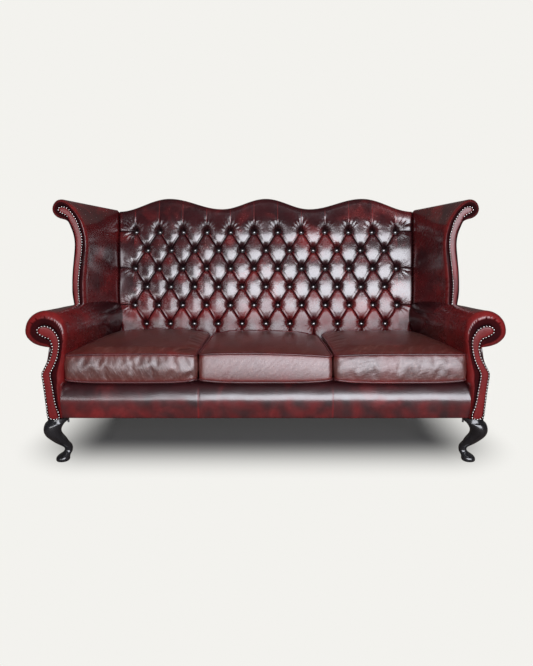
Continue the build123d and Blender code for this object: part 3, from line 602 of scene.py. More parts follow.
def strip(pairs, count, front, crown):
    """A padded strip between an inner and an outer edge, closed 5 mm behind them."""
    edges = through(pairs, count)
    inner, outer = edges[:, None, :2], edges[:, None, 2:]
    u = np.linspace(0, 1, 13)
    face = inner + (outer - inner) * u[:, None]
    ends = np.minimum(1, np.minimum(np.arange(count), np.arange(count)[::-1]) / 3)[:, None]
    rings = xyz(face[..., 0], front - crown * np.sin(np.pi * u) ** 0.6 * ends, face[..., 1])
    return np.concatenate([rings, rings[:, [-1, 0]] + (0, 5, 0)], axis=1)


def make_facing(part, side, sign, pairs, count, front, crown, wear):
    """A leather facing, with painted shade along both edges under its nails."""
    rings = strip(pairs, count, front - 1.0, crown)
    # painted shade: dark along both edges of the facing
    dark = [1, 1, 0.6] + [0] * 7 + [0.6, 1, 1, 1, 1]
    marks = {"fold": np.tile(dark, (count, 1)), "wear": np.full(rings.shape[:2], wear)}
    piece = finish_mesh(skin(rings, marks=marks), f"{side}_{part}_facing_leather", sign)
    dress(piece, leather("facing"), nodes=(f"{side}_{part}_facing",))


# Buttoned back

def back_half(up):
    """Half the width of the inside back at a height up it."""
    return BACK_HALF + (BACK_HALF_TOP - BACK_HALF) * np.asarray(up) / BACK_END


def crest(x):
    """Height up the back of the three-hump top edge."""
    s = bpy.context.scene.sofa_back
    reach = np.abs(x)

    def slope(low, share):
        return low + (s.hump_height - low) * (1 + np.cos(np.pi * share)) / 2

    first = slope(s.valley_height, reach / s.valley_x)
    second = slope(s.valley_height, (s.hump_x - reach) / (s.hump_x - s.valley_x))
    last = slope(s.end_height, np.minimum(1, (reach - s.hump_x) / (BACK_HALF_TOP - s.hump_x)))
    return np.where(reach <= s.valley_x, first, np.where(reach <= s.hump_x, second, last))


def lattice_ends():
    """The sizes of the back, the lowest row's height up it, and the outermost buttons' place across."""
    s = bpy.context.scene.sofa_back
    return s, s.top_row - (s.rows - 1) * s.row_pitch, s.pitch * (s.top_row_buttons - 1) / 2


def button_spots():
    """Across and up of every button."""
    s = bpy.context.scene.sofa_back
    spots = []
    for row in range(s.rows):
        count = s.top_row_buttons - row % 2
        spots += [((i - (count - 1) / 2) * s.pitch, s.top_row - row * s.row_pitch) for i in range(count)]
    return spots


def lattice_place(x, up):
    """Fold coordinates of a place: whole numbers of the first lie on the / folds, of the second on the \\."""
    s, low_row, outer = lattice_ends()
    i = np.clip(x, -outer, outer) / s.pitch
    j = (np.clip(up, low_row, s.top_row) - low_row) / (2 * s.row_pitch)
    return i - j, i + j


def gathered(x, up):
    """Places drawn together towards the nearest folds, so that the mesh is fine there."""
    s = bpy.context.scene.sofa_back
    pull = [-0.75 * np.sin(2 * np.pi * part) / (2 * np.pi) for part in lattice_place(x, up)]
    return x + s.pitch / 2 * (pull[0] + pull[1]), up + s.row_pitch * (pull[1] - pull[0])


def lipped(away, depth):
    """Section through a fold: a rounded lip above it, and a slope up from under the lip below it."""
    lip = quarter(1 - np.clip(away / 5, 0, 1))
    under = (1 - np.clip(-away / 11, 0, 1)) ** 2
    return depth * (np.where(away >= 0, lip, under) + 0.17 * hump(away, 10, 3))


def straight_pleats(x, up, above, below, beside):
    """Depth of the pleats outside the lattice of folds, how far off the nearest is, and the roll's seams."""
    s, low_row, _ = lattice_ends()
    up_fold = from_whole(x / s.pitch - 0.5) * s.pitch
    low_fold = from_whole(x / s.pitch) * s.pitch
    side_fold = from_whole((up - low_row) / (2 * s.row_pitch) - 0.5) * 2 * s.row_pitch
    depth = np.where(above > 0, s.fold_depth * hump(up_fold, 0, 5) * np.exp(-above / 34),
                     np.where(below > 0, lipped(-np.abs(low_fold), s.fold_depth),
                              lipped(side_fold, s.fold_depth * 0.8)))
    depth = np.where((above > 0) & (beside > 0), 0.6 * s.fold_depth * hump(above, 0, 10), depth)
    line = np.abs(np.where(above > 0, up_fold, np.where(below > 0, low_fold, side_fold)))
    seam = hump(up_fold, 0, 1.3) * smoothstep(above, 24, 60) * (beside == 0)
    return depth, line, seam


def back_relief(x, up):
    """Depth of the buttoned leather below its highest, its painted shade in the creases and button pits, and
    how rubbed and gathered it is.
    """
    pleat_reach, pit_radius, pit_rise, fan_size = 95, 13.0, 21.0, 30
    s, low_row, outer = lattice_ends()
    spacing = 2 * s.pitch * s.row_pitch / math.hypot(s.pitch, 2 * s.row_pitch)
    rising, falling = lattice_place(x, up)
    above, below = np.maximum(up - s.top_row, 0), np.maximum(low_row - up, 0)
    beside = np.maximum(np.abs(x) - outer, 0)
    dome = 4 * s.crown * ((rising % 1 - 0.5) ** 2 + (falling % 1 - 0.5) ** 2) / 2
    dome *= 1 - 0.85 * smoothstep(above, 0, 120)
    folds = [-from_whole(rising) * spacing, from_whole(falling) * spacing]
    crossing = np.maximum(*[lipped(away, s.fold_depth) for away in folds])
    outside = smoothstep(above + below + beside, 0, 16)
    straight, straight_line, seam = straight_pleats(x, up, above, below, beside)
    fold = crossing * (1 - outside) + straight * outside
    line = np.where(outside > 0.5, straight_line + 40 * (above > 45), np.minimum(*np.abs(folds)))
    depth = dome + fold + 16 * smoothstep(low_row + 75 - up, 0, 150)
    # painted shade: a dark line along each crease
    dark = hump(line, 0, 2)
    on_rising = np.abs(folds[0]) < np.abs(folds[1])
    leaning = np.where(on_rising, smoothstep(x, -100, 400), 1.0)
    lip_place = np.where(on_rising, folds[0], folds[1])
    gather, near_x, near_up, rub = np.zeros_like(x), np.zeros_like(x), np.ones_like(x), np.zeros_like(x)
    nearest = np.full_like(x, 1e9)
    rng = np.random.default_rng(7)
    for button_x, button_up in button_spots():
        dx, du = x - button_x, up - button_up
        near = np.hypot(dx, du) < pleat_reach
        dx, du = dx[near], du[near]
        far, angle = np.hypot(dx, du), np.arctan2(du, dx)
        pit = 1 / (1 + np.hypot(dx / pit_radius, du / np.where(du > 0, pit_rise, pit_radius)) ** 4)
        count, phase = rng.integers(13, 18), rng.uniform(0, 6.28, 3)
        strong = rng.uniform(0.8, 1.5)
        waves = np.sin(count * angle + phase[0] + 1.3 * np.sin(3 * angle + phase[1]))
        fan = 0.7 + 0.3 * np.sin(2 * angle + phase[2])
        top, end = button_up == s.top_row, abs(button_x) > outer - 1
        length = np.full_like(far, 17.0)
        if top:
            length += 24 * np.clip(np.sin(angle), 0, 1) ** 2
        if end:
            length += 24 * np.clip(np.cos(angle) * np.sign(button_x), 0, 1) ** 2
        if end or (top and abs(abs(button_x) - s.valley_x) < s.pitch / 2):
            strong = 2.0
        window = np.exp(-(np.maximum(far - 20, 0) / length) ** 2) * smoothstep(far, 9, 16)
        pleats = strong * s.wrinkle * waves * fan * window
        depth[near] = (depth[near] - pleats) * (1 - pit) + s.button_floor * pit
        # painted shadow: dark in each button's pit and in a flame above it, where the leather over the pit
        # shades it
        painted_flame_shadow = np.exp(-((dx / 8) ** 2 + ((du - 25) / 13) ** 2)) * (0.55 + 0.45 * waves)
        dark[near] = np.maximum(dark[near], np.maximum(1.05 * pit ** 0.8, 0.75 * painted_flame_shadow))
        lip = hump(lip_place[near], 4.5, 1.8) * hump(far, 32, 15) * (du < -8)
        rub[near] = np.maximum(rub[near], lip * leaning[near] * (outside[near] == 0))
        closer = far < nearest[near]
        for values, own in ((nearest, far), (gather, window), (near_x, dx / fan_size),
                            (near_up, du / fan_size)):
            values[near] = np.where(closer, own, values[near])
    depth -= 0.9 * seam
    height, side = (falling % 1 - rising % 1 + 1) / 2, rising % 1 + falling % 1 - 1
    blush = hump(height, 0.72, 0.16) * hump(side, 0, 0.45) * (outside == 0)
    blush *= (0.35 + 0.8 * ruffle(back_points(x, up, 0), 95.0, 12)).clip(0, 0.9)
    marks = {"fold": np.clip(dark, 0, 1), "wear": np.clip(0.7 * seam + 0.75 * rub + blush, 0, 1),
             "gather": gather, "near_x": near_x, "near_up": near_up}
    return np.minimum(depth, s.button_floor + 1), marks


def size(name, description, default, **more):
    return FloatProperty(name=name, description=description, default=default, **more)


def tint(name, description, default):
    return FloatVectorProperty(name=name, description=description, subtype="COLOR", default=default,
                               min=0, max=1)


class SofaBack(bpy.types.PropertyGroup):
    """Sizes of the buttoned back, in millimetres."""
    rows: IntProperty(name="Rows", description="Rows of buttons", default=6, min=2)
    top_row_buttons: IntProperty(name="Top row buttons", description="Buttons in the top row", default=12)
    pitch: size("Pitch", "Across, from button to button", 122.0)
    row_pitch: size("Row pitch", "Up the back, from row to row", 95.0)
    top_row: size("Top row", "Top row's height up the back", 526.5)
    hump_height: size("Hump height", "Top edge at a hump", 702.0)
    valley_height: size("Valley height", "Top edge at a valley", 647.0)
    end_height: size("End height", "Top edge at the wings", BACK_END)
    valley_x: size("Valley place", "Middle to a valley", 226.0)
    hump_x: size("Hump place", "Middle to an outer hump", 500.0)
    crown: size("Crown", "Fall of a diamond from its middle to a button", 7.5)
    fold_depth: size("Fold depth", "Depth of a fold between diamonds", 8.5)
    button_floor: size("Button depth", "Depth of a button's seat", 34.0)
    wrinkle: size("Wrinkle", "Height of the gathers round a button", 1.5)
    roll: size("Roll", "Radius of the rolled top", 28.0)


class SofaLeather(bpy.types.PropertyGroup):
    """Colours of the leathers."""
    colour: tint("Colour", "Main leather", (0.043, 0.0066, 0.0083))
    # painted shade: this colour is mixed in where shade is painted into folds, pits and gaps; it is also the
    # random dark clouding of the leather and the buttons' own colour
    shade: tint("Shade", "Leather in the folds", (0.010, 0.004, 0.005))
    rub: tint("Rubbed", "Leather rubbed through to the red", (0.22, 0.013, 0.013))
    facing: tint("Facings", "Panels on the fronts of arms and wings", (0.18, 0.012, 0.013))
    cushion: tint("Cushions", "Seat cushions", (0.085, 0.022, 0.015))
    piping: tint("Piping", "Piping of the cushions", (0.10, 0.022, 0.024))


class SofaSeat(bpy.types.PropertyGroup):
    """Sizes of the seat cushions, in millimetres."""
    height: size("Height", "Deck to the upper seam", 119.0)
    crown: size("Crown", "Rise of the top over its seam", 11.0)
    droop: size("Droop", "Fall of the upper seam at the corners", 6.0)
    overhang: size("Overhang", "Cushion fronts before the arm facings", 6.0)
    middle: size("Middle", "Half the middle cushion", 271.0)
    room: size("Room", "Between the seams of two cushions", 10.0)
    cap: size("Cap", "Farthest that the stuffing moves the leather", 14.0)


class SofaStage(bpy.types.PropertyGroup):
    """Light, floor and camera."""
    key: size("Key light", "Power of the window light", 255.0, unit="POWER")
    top: size("Top light", "Power of the overhead light", 30.0, unit="POWER")
    rear: size("Rear light", "Power of the light behind the sofa", 110.0, unit="POWER")
    world: size("World", "Strength of the even light", 0.12)
    lens: size("Lens", "Focal length", 27.1)
    paper: tint("Paper", "Floor and backdrop", (0.896, 0.888, 0.855))


class SOFA_OT_inside_back(bpy.types.Operator):
    """Make the deep-buttoned inside back with its rolled top"""
    bl_idname = "sofa.inside_back"
    bl_label = "Inside back"

    foot = -112.0      # up the back, its lower edge behind the seat
    rear = 99.6        # depths of its rear, over the frame and before it
    rebate = 61.5
    rear_drop = 18.0   # how far it comes down behind the frame's top

    def execute(self, context):
        s = context.scene.sofa_back
        foot_x, x, up = self.sheet()
        shoulder = crest(x[-1]) - s.roll
        rise = np.linspace(0, 1, 21)[1:, None]
        x = np.vstack([x, np.tile(x[-1], (20, 1))])
        up = np.vstack([up, up[-1] + (shoulder - up[-1]) * rise])
        depth, marks = back_relief(x, up)
        room = crest(x) - up
        calm = smoothstep(room, 30, 75)
        depth = depth * calm + 9 * (1 - smoothstep(room, 28, 130))
        wide = 7 + 9 * smoothstep(up, 20, 160)
        tuck = np.clip((np.abs(x) - (back_half(up) - wide)) / wide, 0, 0.999)
        depth += 20 * quarter(tuck)
        # painted shade: the creases' and pits' marks and the tucks at the sides beside the wings; the foot of
        # the back is also made darker with the same shade colour
        fold = np.clip(np.maximum(marks["fold"] * calm, tuck), 0, 1)
        fold = np.maximum(fold, 0.3 * (1 - smoothstep(up, 40, 170)))
        # towards the foot of the back the leather is also made redder and its shine duller
        low = 1 - smoothstep(up, 60, 240)
        rubbed = low * (0.65 + 0.5 * ruffle(back_points(x, up, 0), 60.0, 2)).clip(0, 1)
        marks["fold"], marks["wear"] = fold, np.clip(marks["wear"] + rubbed, 0, 1) * (1 - 0.75 * fold)
        top_x, top_up, last = x[-1], crest(x[-1]), depth[-1]
        turn = np.radians(np.linspace(0, 90, 10)[1:])[:, None]
        behind = np.array([(40, 0), (60, 0), (80, 0.5), (92, 2), (self.rear, 6)])[:, :, None]
        rings = np.concatenate([
            back_points(x, up, -depth),
            back_points(top_x, shoulder + s.roll * np.sin(turn), -s.roll + (s.roll - last) * np.cos(turn)),
            back_points(top_x, top_up - behind[:, 1], -behind[:, 0]),
            back_points(top_x, top_up - self.rear_drop, -self.rear)[None],
            back_points(top_x, top_up - self.rear_drop, -self.rebate)[None],
            back_points(foot_x, self.foot, -self.rebate)[None]])
        spare = len(rings) - len(x)
        marks = {name: np.vstack([values, np.tile(values[-1:] * 0.5, (spare, 1))])
                 for name, values in marks.items()}
        bm = skin(rings, around=False, marks=marks, crossed=self.falling)
        piece = finish_mesh(bm, "inside_back_leather")
        dress(piece, leather("buttoned"), nodes=("inside_back",))
        return {"FINISHED"}

    def sheet(self):
        """Where the lower edge lies across, and places of the sheet up to over the top row of buttons."""
        s, low_row, _ = lattice_ends()
        step_x, step_up = s.pitch / STEPS, s.row_pitch / (STEPS / 2)
        lattice = np.arange(-SHEET_REACH, SHEET_REACH + 1) * step_x
        edge = lattice[-1]
        beside = np.linspace(0, 1, SHEET_SIDE + 1)[1:]
        below = np.linspace(self.foot, low_row - SHEET_LOW * step_up, SHEET_FOOT + 1)[:-1]
        over = (s.rows - 1) * STEPS // 2 + 6
        ups = np.concatenate([below, low_row + step_up * np.arange(-SHEET_LOW, over)])
        half = back_half(ups)[:, None]
        x = np.hstack([-(edge + (half - edge) * beside[::-1]), np.tile(lattice, (len(ups), 1)),
                       edge + (half - edge) * beside])
        return x[0], *gathered(x, np.tile(ups[:, None], (1, x.shape[1])))

    def falling(self, i, j):
        """Whether a square of the mesh is split along a falling fold rather than a rising one."""
        across, up = i - SHEET_SIDE - SHEET_REACH, j - SHEET_FOOT - SHEET_LOW
        rises, falls = (across - up) % STEPS, (across + up + 1) % STEPS
        return min(falls, STEPS - falls) < min(rises, STEPS - rises)


class SOFA_OT_buttons(bpy.types.Operator):
    """Seat the covered buttons in the pockets of the back"""
    bl_idname = "sofa.buttons"
    bl_label = "Buttons"

    def execute(self, context):
        floor = context.scene.sofa_back.button_floor
        bm = bmesh.new()
        turn = Matrix.Rotation(math.radians(90) - LEAN, 4, "X")
        for x, up in button_spots():
            point = Vector(back_points(x, up, -floor + 2.0)) * MM
            place = Matrix.Translation(point) @ turn @ Matrix.Diagonal((1, 1, 0.62, 1))
            bmesh.ops.create_uvsphere(bm, u_segments=16, v_segments=8, radius=BUTTON_RADIUS * MM,
                                      matrix=place)
        piece = finish_mesh(bm, "back_buttons_leather")
        dress(piece, leather("button"), nodes=("back_buttons",))
        return {"FINISHED"}


class SOFA_OT_arms(bpy.types.Operator):
    """Make the rolled arms, their facings and their outside panels"""
    bl_idname = "sofa.arms"
    bl_label = "Arms"

    def execute(self, context):
        for side, sign in SIDES:
            rings = arm_rings()
            depth = rings[..., 1] - ARM_FRONT
            wear = 0.3 * hump(depth, 8, 16)
            wear += hump(depth, 0, 230) * (0.75 + 0.5 * ruffle(rings, 60.0, 8)).clip(0, 1)
            # painted shade: dark along the nail line and the lip's front beside it, and on the inner side
            # towards the back
            painted_shade_mark = 0.85 * (depth < -3) + 0.85 * (np.arange(len(rings)) < 4)[:, None]
            painted_shade_mark += 0.65 * smoothstep(depth, 270, 440) * (rings[..., 0] > -850)
            marks = {"fold": np.clip(painted_shade_mark, 0, 0.85), "wear": wear}
            arm = finish_mesh(skin(rings, marks=marks), side + "_arm_leather", sign)
            dress(arm, leather("oxblood"), nodes=(side + "_arm_stuffing",))
            make_facing("arm", side, sign, ARM_FACING, 110, ARM_FRONT, 3.2, 0.5)
            panel = finish_mesh(skin(outside_arm_rings()), side + "_outside_arm_leather", sign)
            dress(panel, leather("oxblood"), nodes=(side + "_outside_arm",))
        return {"FINISHED"}


class SOFA_OT_wings(bpy.types.Operator):
    """Make the wings and their facings"""
    bl_idname = "sofa.wings"
    bl_label = "Wings"

    def execute(self, context):
        for side, sign in SIDES:
            rings = wing_rings()
            depth = rings[..., 1] - WING_FRONT
            wear = 0.3 * hump(depth, 8, 14)
            wear += (0.24 + 0.4 * ruffle(rings, 110.0, 9)).clip(0, 0.7)
            # painted shade: dark along the nail line
            painted_shade_mark = np.zeros_like(wear) + 0.85 * (np.arange(len(rings)) < 4)[:, None]
            marks = {"fold": painted_shade_mark, "wear": wear}
            wing = finish_mesh(skin(rings, marks=marks), side + "_wing_leather", sign)
            dress(wing, leather("oxblood"), nodes=(side + "_wing_stuffing",))
            make_facing("wing", side, sign, WING_FACING, 120, WING_FRONT, 2.6, 0.3)
        return {"FINISHED"}


class SOFA_OT_nails(bpy.types.Operator):
    """Drive the nails round the facings"""
    bl_idname = "sofa.nails"
    bl_label = "Nails"

    def execute(self, context):
        for side, sign in SIDES:
            inner, outer = self.rows(ARM_FACING, 0.12)
            loop = np.vstack([inner, outer[::-1]])
            loop[:, 1] = np.maximum(loop[:, 1], RAIL_BOTTOM + 10)
            self.drive(evenly(loop, NAIL_PITCH, True), ARM_FRONT - 4.4, side + "_arm_nails", sign)
            inner, outer = self.rows(WING_FACING, 0.14)
            line = np.vstack([inner[1:], outer[:-6:-1]])
            self.drive(evenly(line, NAIL_PITCH), WING_FRONT - 4.2, side + "_wing_nails", sign)
        return {"FINISHED"}

    def rows(self, pairs, inset):
        """The two lines of nails of a facing, a share of its width in from its edges."""
        edges = np.array(pairs, float)
        inner, outer = edges[:, :2], edges[:, 2:]
        return inner + inset * (outer - inner), outer + inset * (inner - outer)

    def drive(self, spots, front, name, sign):
        """Domed nail heads on a line of places, each across and height."""
        bm = bmesh.new()
        for across, height in spots:
            place = Matrix.Translation(Vector((across, front, height)) * MM)
            bmesh.ops.create_uvsphere(bm, u_segments=8, v_segments=5, radius=NAIL_RADIUS * MM,
                                      matrix=place @ Matrix.Diagonal((1, 0.75, 1, 1)))
        dress(finish_mesh(bm, name, sign), nail_metal())


class SOFA_OT_front_border(bpy.types.Operator):
    """Make the padded border under the cushions"""
    bl_idname = "sofa.front_border"
    bl_label = "Front border"

    def execute(self, context):
        front = ARM_FRONT + 10
        profile = [(8, 198), (3, 203), (0, 225), (-2.5, 253), (-2.5, 275), (0.5, 288), (6, 301), (16, 317),
                   (30, 333), (46, 343), (60, 346), (61, 300), (61, 210), (50, 198)]
        loop = through([(front + depth, height) for depth, height in profile], 72, closed=True)
        across = np.linspace(0, BORDER_HALF, 190)
        across = np.concatenate([-across[::-1], across[1:]])
        rings = xyz(across[:, None], loop[:, 0], loop[:, 1])
        seam = hump(np.abs(rings[..., 0]), BORDER_SEAM, 2.4)
        faced = smoothstep(rings[..., 1], front + 30, front + 5)
        rings[..., 1] += faced * (1.2 * seam + 1.2 * ruffle(rings, 90.0, 5))
        low = smoothstep(rings[..., 2], 300, 270) * faced
        # painted shadow: dark along the top of the border, under the cushions' overhang
        marks = {"fold": 0.7 * smoothstep(rings[..., 2], 322, 344) * faced,
                 "wear": np.clip(0.8 * seam * faced + low * (0.28 + 0.55 * ruffle(rings, 45.0, 6)), 0, 1)}
        piece = finish_mesh(skin(rings, marks=marks), "front_border_leather")
        dress(piece, leather("border"), nodes=("front_border",))
        return {"FINISHED"}


class SOFA_OT_outside_back(bpy.types.Operator):
    """Make the panel behind the back and wings"""
    bl_idname = "sofa.outside_back"
    bl_label = "Outside back"

    def execute(self, context):
        half, ear_width = PANEL_HALF - 0.5, PANEL_HALF - BACK_HALF_TOP
        ear_x = np.linspace(BACK_HALF_TOP, half, 12)[1:]
        across = np.concatenate([-ear_x[::-1], np.linspace(-BACK_HALF_TOP, BACK_HALF_TOP, 120), ear_x])
        ear = np.clip((np.abs(across) - BACK_HALF_TOP) / ear_width, 0, 1)
        top = crest(np.minimum(np.abs(across), BACK_HALF_TOP)) - ear_width * quarter(ear)
        low = (RAIL_BOTTOM + 1 - BACK_DATUM) / math.cos(LEAN)
        rows = []
        for h in np.concatenate([[0, 0.003, 0.01], np.linspace(0.025, 0.975, 46), [0.988, 0.996, 1]]):
            up = low + (top - low) * h
            inset = np.minimum(top - up, PANEL_HALF + 0.5 - np.abs(across))
            rows.append(back_points(across, up, 7 * quarter(1 - (inset / 9).clip(0, 1)) - PANEL_BACK))
        rows += [back_points(across, end, -FRAME_BACK - 0.4) for end in (top, low)]
        piece = finish_mesh(skin(np.stack(rows), around=False), "outside_back_leather")
        dress(piece, leather("oxblood"), nodes=("outside_back",))
        return {"FINISHED"}


# Boxes of stuffing

def outline_place(u, v, corners, rounds):
    """Places in a four-cornered outline with rounded corners, u and v running from -1 to 1."""
    far = np.maximum(np.abs(u), np.abs(v))
    far = np.where(far == 0, 1e-9, far)
    edge_u, edge_v = u / far, v / far
    a, b = (edge_u[..., None] + 1) / 2, (edge_v[..., None] + 1) / 2
    c = np.array(corners, float)
    place = (c[0] * (1 - a) + c[1] * a) * (1 - b) + (c[3] * (1 - a) + c[2] * a) * b
    radius = np.where(edge_v < 0, rounds[0], rounds[1])
    half = np.abs(c[1] - c[0])[0] / 2, np.abs(c[2] - c[1])[1] / 2
    on_side = np.abs(edge_u) > np.abs(edge_v)
    left = np.where(on_side, (1 - np.abs(edge_v)) * half[1], (1 - np.abs(edge_u)) * half[0])
    turn = np.radians(45) * (1 - np.clip(left / radius, 0, 1))
    inward, along = radius * (1 - np.cos(turn)), np.maximum(radius * (1 - np.sin(turn)) - left, 0)
    along = np.where(left < radius, along, 0)
    place[..., 0] -= np.sign(edge_u) * np.where(on_side, inward, along)
    place[..., 1] -= np.sign(edge_v) * np.where(on_side, along, inward)
    centre = c.mean(axis=0)
    return centre + (place - centre) * far[..., None]


def box_pad(outlines, rounds, heights, counts, bulge=0.0, rub=0.0):
    """A stuffed box: bottom, top and border grids stitched at their seams, and the two seam lines.

    The outlines and heights are of the bottom and the top, and the counts of squares across, back and up."""
    wide, deep, tall = counts
    u, v = np.meshgrid(np.linspace(-1, 1, wide + 1), np.linspace(-1, 1, deep + 1))
    sheets = [np.concatenate([outline_place(u, v, corners, rounds), height(u, v)[..., None]], axis=-1)
              for corners, height in zip(outlines, heights)]
    rows, columns = np.arange(deep + 1), np.arange(wide + 1)
    loop = ([(0, i) for i in columns[:-1]] + [(j, wide) for j in rows[:-1]]
            + [(deep, i) for i in columns[:0:-1]] + [(j, 0) for j in rows[:0:-1]])
    low, high = seams = [np.array([sheet[j, i] for j, i in loop]) for sheet in sheets]
    out, levels = outward(runs(high)), np.linspace(0, 1, tall + 1)
    border = [low + (high - low) * t + out * bulge * math.sin(math.pi * t) ** 0.8 for t in levels]
    near = hump(np.maximum(np.abs(u), np.abs(v)), 1, 0.05) + 0.5 * smoothstep(-v, -0.3, 1)
    band = np.tile(hump(np.minimum(levels, levels[::-1]), 0, 0.12)[:, None], (1, len(loop)))
    grids = ((sheets[0], near, False), (sheets[1], near, False), (np.stack(border), band, True))
    whole = join(skin(grid, around, False, {"fold": 0 * wear, "wear": 0.45 * wear + rub * around})
                 for grid, wear, around in grids)
    bmesh.ops.remove_doubles(whole, verts=whole.verts, dist=2e-6)
    return whole, seams


def tube(path, radius):
    """Rings of a cord that runs round a closed path and lies flat on its seam."""
    run = unit(runs(path))
    out = outward(run)
    up = np.cross(out, run)
    rings = [path + radius * (out * math.cos(a) + up * math.sin(a))
             for a in np.linspace(0, 2 * math.pi, 8, endpoint=False)]
    rings = np.stack(rings, axis=1)
    return np.concatenate([rings, rings[:1]])


def places_of(piece):
    """The places of a piece's vertices."""
    flat = np.empty(len(piece.data.vertices) * 3)
    piece.data.vertices.foreach_get("co", flat)
    return flat.reshape(-1, 3)


CUSHIONS = {   # set-back of the upper seam's front, tilt, bulge and rub of the border, shrinking of the hide
    "left": (15, -2.0, 5.0, 0.1, -0.02),
    "middle": (20, -4.0, 2.5, 0.3, 0.0),
    "right": (18, 3.0, 5.0, 0.1, -0.012)}


class SOFA_OT_cushions(bpy.types.Operator):
    """Stuff the three loose seat cushions and pipe their edges"""
    bl_idname = "sofa.cushions"
    bl_label = "Cushions"

    deck_reach = 0.39   # metres either way from the middle within which a cushion lies flat on the deck

    def execute(self, context):
        s = context.scene.sofa_seat
        near, side, rear = s.middle + s.room, SEAT_HALF + 1.3, SEAT_HALF - SEAT_TAPER
        ends = {"left": (-side, -near, -rear, -near + 10),   # the front's ends, then the back's
                "middle": (-s.middle, s.middle, -s.middle + 24, s.middle - 24),
                "right": (near, side, near - 10, rear)}
        for number, name in enumerate(ends):
            self.cushion(context, s, name, ends[name], number)
        return {"FINISHED"}

    def cushion(self, context, s, name, ends, number):
        """One cushion with its piping; its number makes its waves its own."""
        set_back, tilt, bulge, rub, shrink = CUSHIONS[name]
        front, seam_height = ARM_FRONT - s.overhang, DECK_TOP + s.height

        def outline(height, fore):
            back = back_y_at(0, height) - 10
            return [(ends[0], fore), (ends[1], fore), (ends[3], back), (ends[2], back)]

        def bottom(u, v):
            return DECK_TOP + 1.5 + 4 * np.maximum(np.abs(u), np.abs(v)) ** 6 + 11 * np.abs(u * v) ** 4

        def top(u, v):
            sway = 3 * np.sin(2.3 * u + number * 2.1) + 2 * np.sin(3.1 * v + number)
            crown = s.crown * ((1 - u ** 2) * (1 - v ** 2)) ** 0.55
            return seam_height - s.droop * np.abs(u * v) ** 2.5 + crown + sway * 0.5 + tilt * u

        outlines = outline(DECK_TOP + 5, front), outline(seam_height, front + set_back)
        whole, seams = box_pad(outlines, (20.0, 95.0), (bottom, top), (48, 44, 10), bulge, rub)
        held = whole.verts.layers.deform.verify()
        stitched = {tuple(place) for seam in seams for place in np.round(seam, 1)}
        for vert in whole.verts:
            on_deck = vert.co.z < (DECK_TOP + 10) * MM and abs(vert.co.y) < self.deck_reach
            if on_deck or tuple(np.round(np.array(vert.co) / MM, 1)) in stitched:
                vert[held][0] = 1.0
        piece = finish_mesh(whole, name + "_cushion_leather")
        piece.vertex_groups.new(name="held")
        self.swell(context, piece, s.cap * MM, shrink)
        smooth = piece.modifiers.new("rounding", "SUBSURF")
        smooth.levels = smooth.render_levels = 1
        body = name + "_seat"
        dress(piece, leather(name + " cushion"), body, (name + "_cushion",))
        cords = join(skin(tube(seam, PIPING), capped=False) for seam in seams)
        piping = finish_mesh(cords, name + "_cushion_piping_leather")
        dress(piping, leather("piping"), body, (name + "_cushion_piping",))

    def swell(self, context, piece, cap, shrink):
        """Cloth under pressure, with each point kept within cap of where it began."""
        scene, before = context.scene, places_of(piece)
        cloth = piece.modifiers.new("stuffing", "CLOTH")
        settings = cloth.settings
        settings.vertex_group_mass = "held"
        settings.use_pressure = True
        settings.uniform_pressure_force = 2.5
        settings.effector_weights.gravity = 0.0
        settings.tension_stiffness = settings.compression_stiffness = 20.0
        settings.bending_stiffness = 1.2
        settings.shrink_min = shrink
        cloth.point_cache.frame_start, cloth.point_cache.frame_end = 1, 20
        for number in range(1, 21):
            scene.frame_set(number)
        graph = context.evaluated_depsgraph_get()
        mesh = bpy.data.meshes.new_from_object(piece.evaluated_get(graph))
        piece.modifiers.clear()
        piece.data = mesh
        move = places_of(piece) - before
        scene.frame_set(1)
        length = np.linalg.norm(move, axis=1, keepdims=True)
        move *= np.minimum(1, cap / np.maximum(length, 1e-9))
        mesh.vertices.foreach_set("co", (before + move).ravel())


class SOFA_OT_timbers(bpy.types.Operator):
    """Finish the legs, the frame's timbers, the webbing and the bolts"""
    bl_idname = "sofa.timbers"
    bl_label = "Legs and frame"

    def execute(self, context):
        beech = timber("beech", (0.52, 0.34, 0.19), (0.36, 0.21, 0.11), 22.0, 0.6)
        stained = timber("stained beech", (0.045, 0.014, 0.010), (0.020, 0.008, 0.006), 22.0, 0.5)
        finishes = {"_leg": timber("ebonised wood", (0.020, 0.019, 0.021), (0.008, 0.007, 0.008), 18.0, 0.28,
                                   coat=1.0, figure=0.0006),
                    "webbing": woven("jute webbing", (0.22, 0.15, 0.08), (0.16, 0.10, 0.055), 240.0),
                    "leg_bolts": bolt_steel(), "front_board": stained, "wing_post": stained}
        for name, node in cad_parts.items():
            if node.hide_render:
                continue
            finish = next((finishes[part] for part in finishes if part in name), beech)
            for slot in node.material_slots:
                slot.material = finish
        return {"FINISHED"}


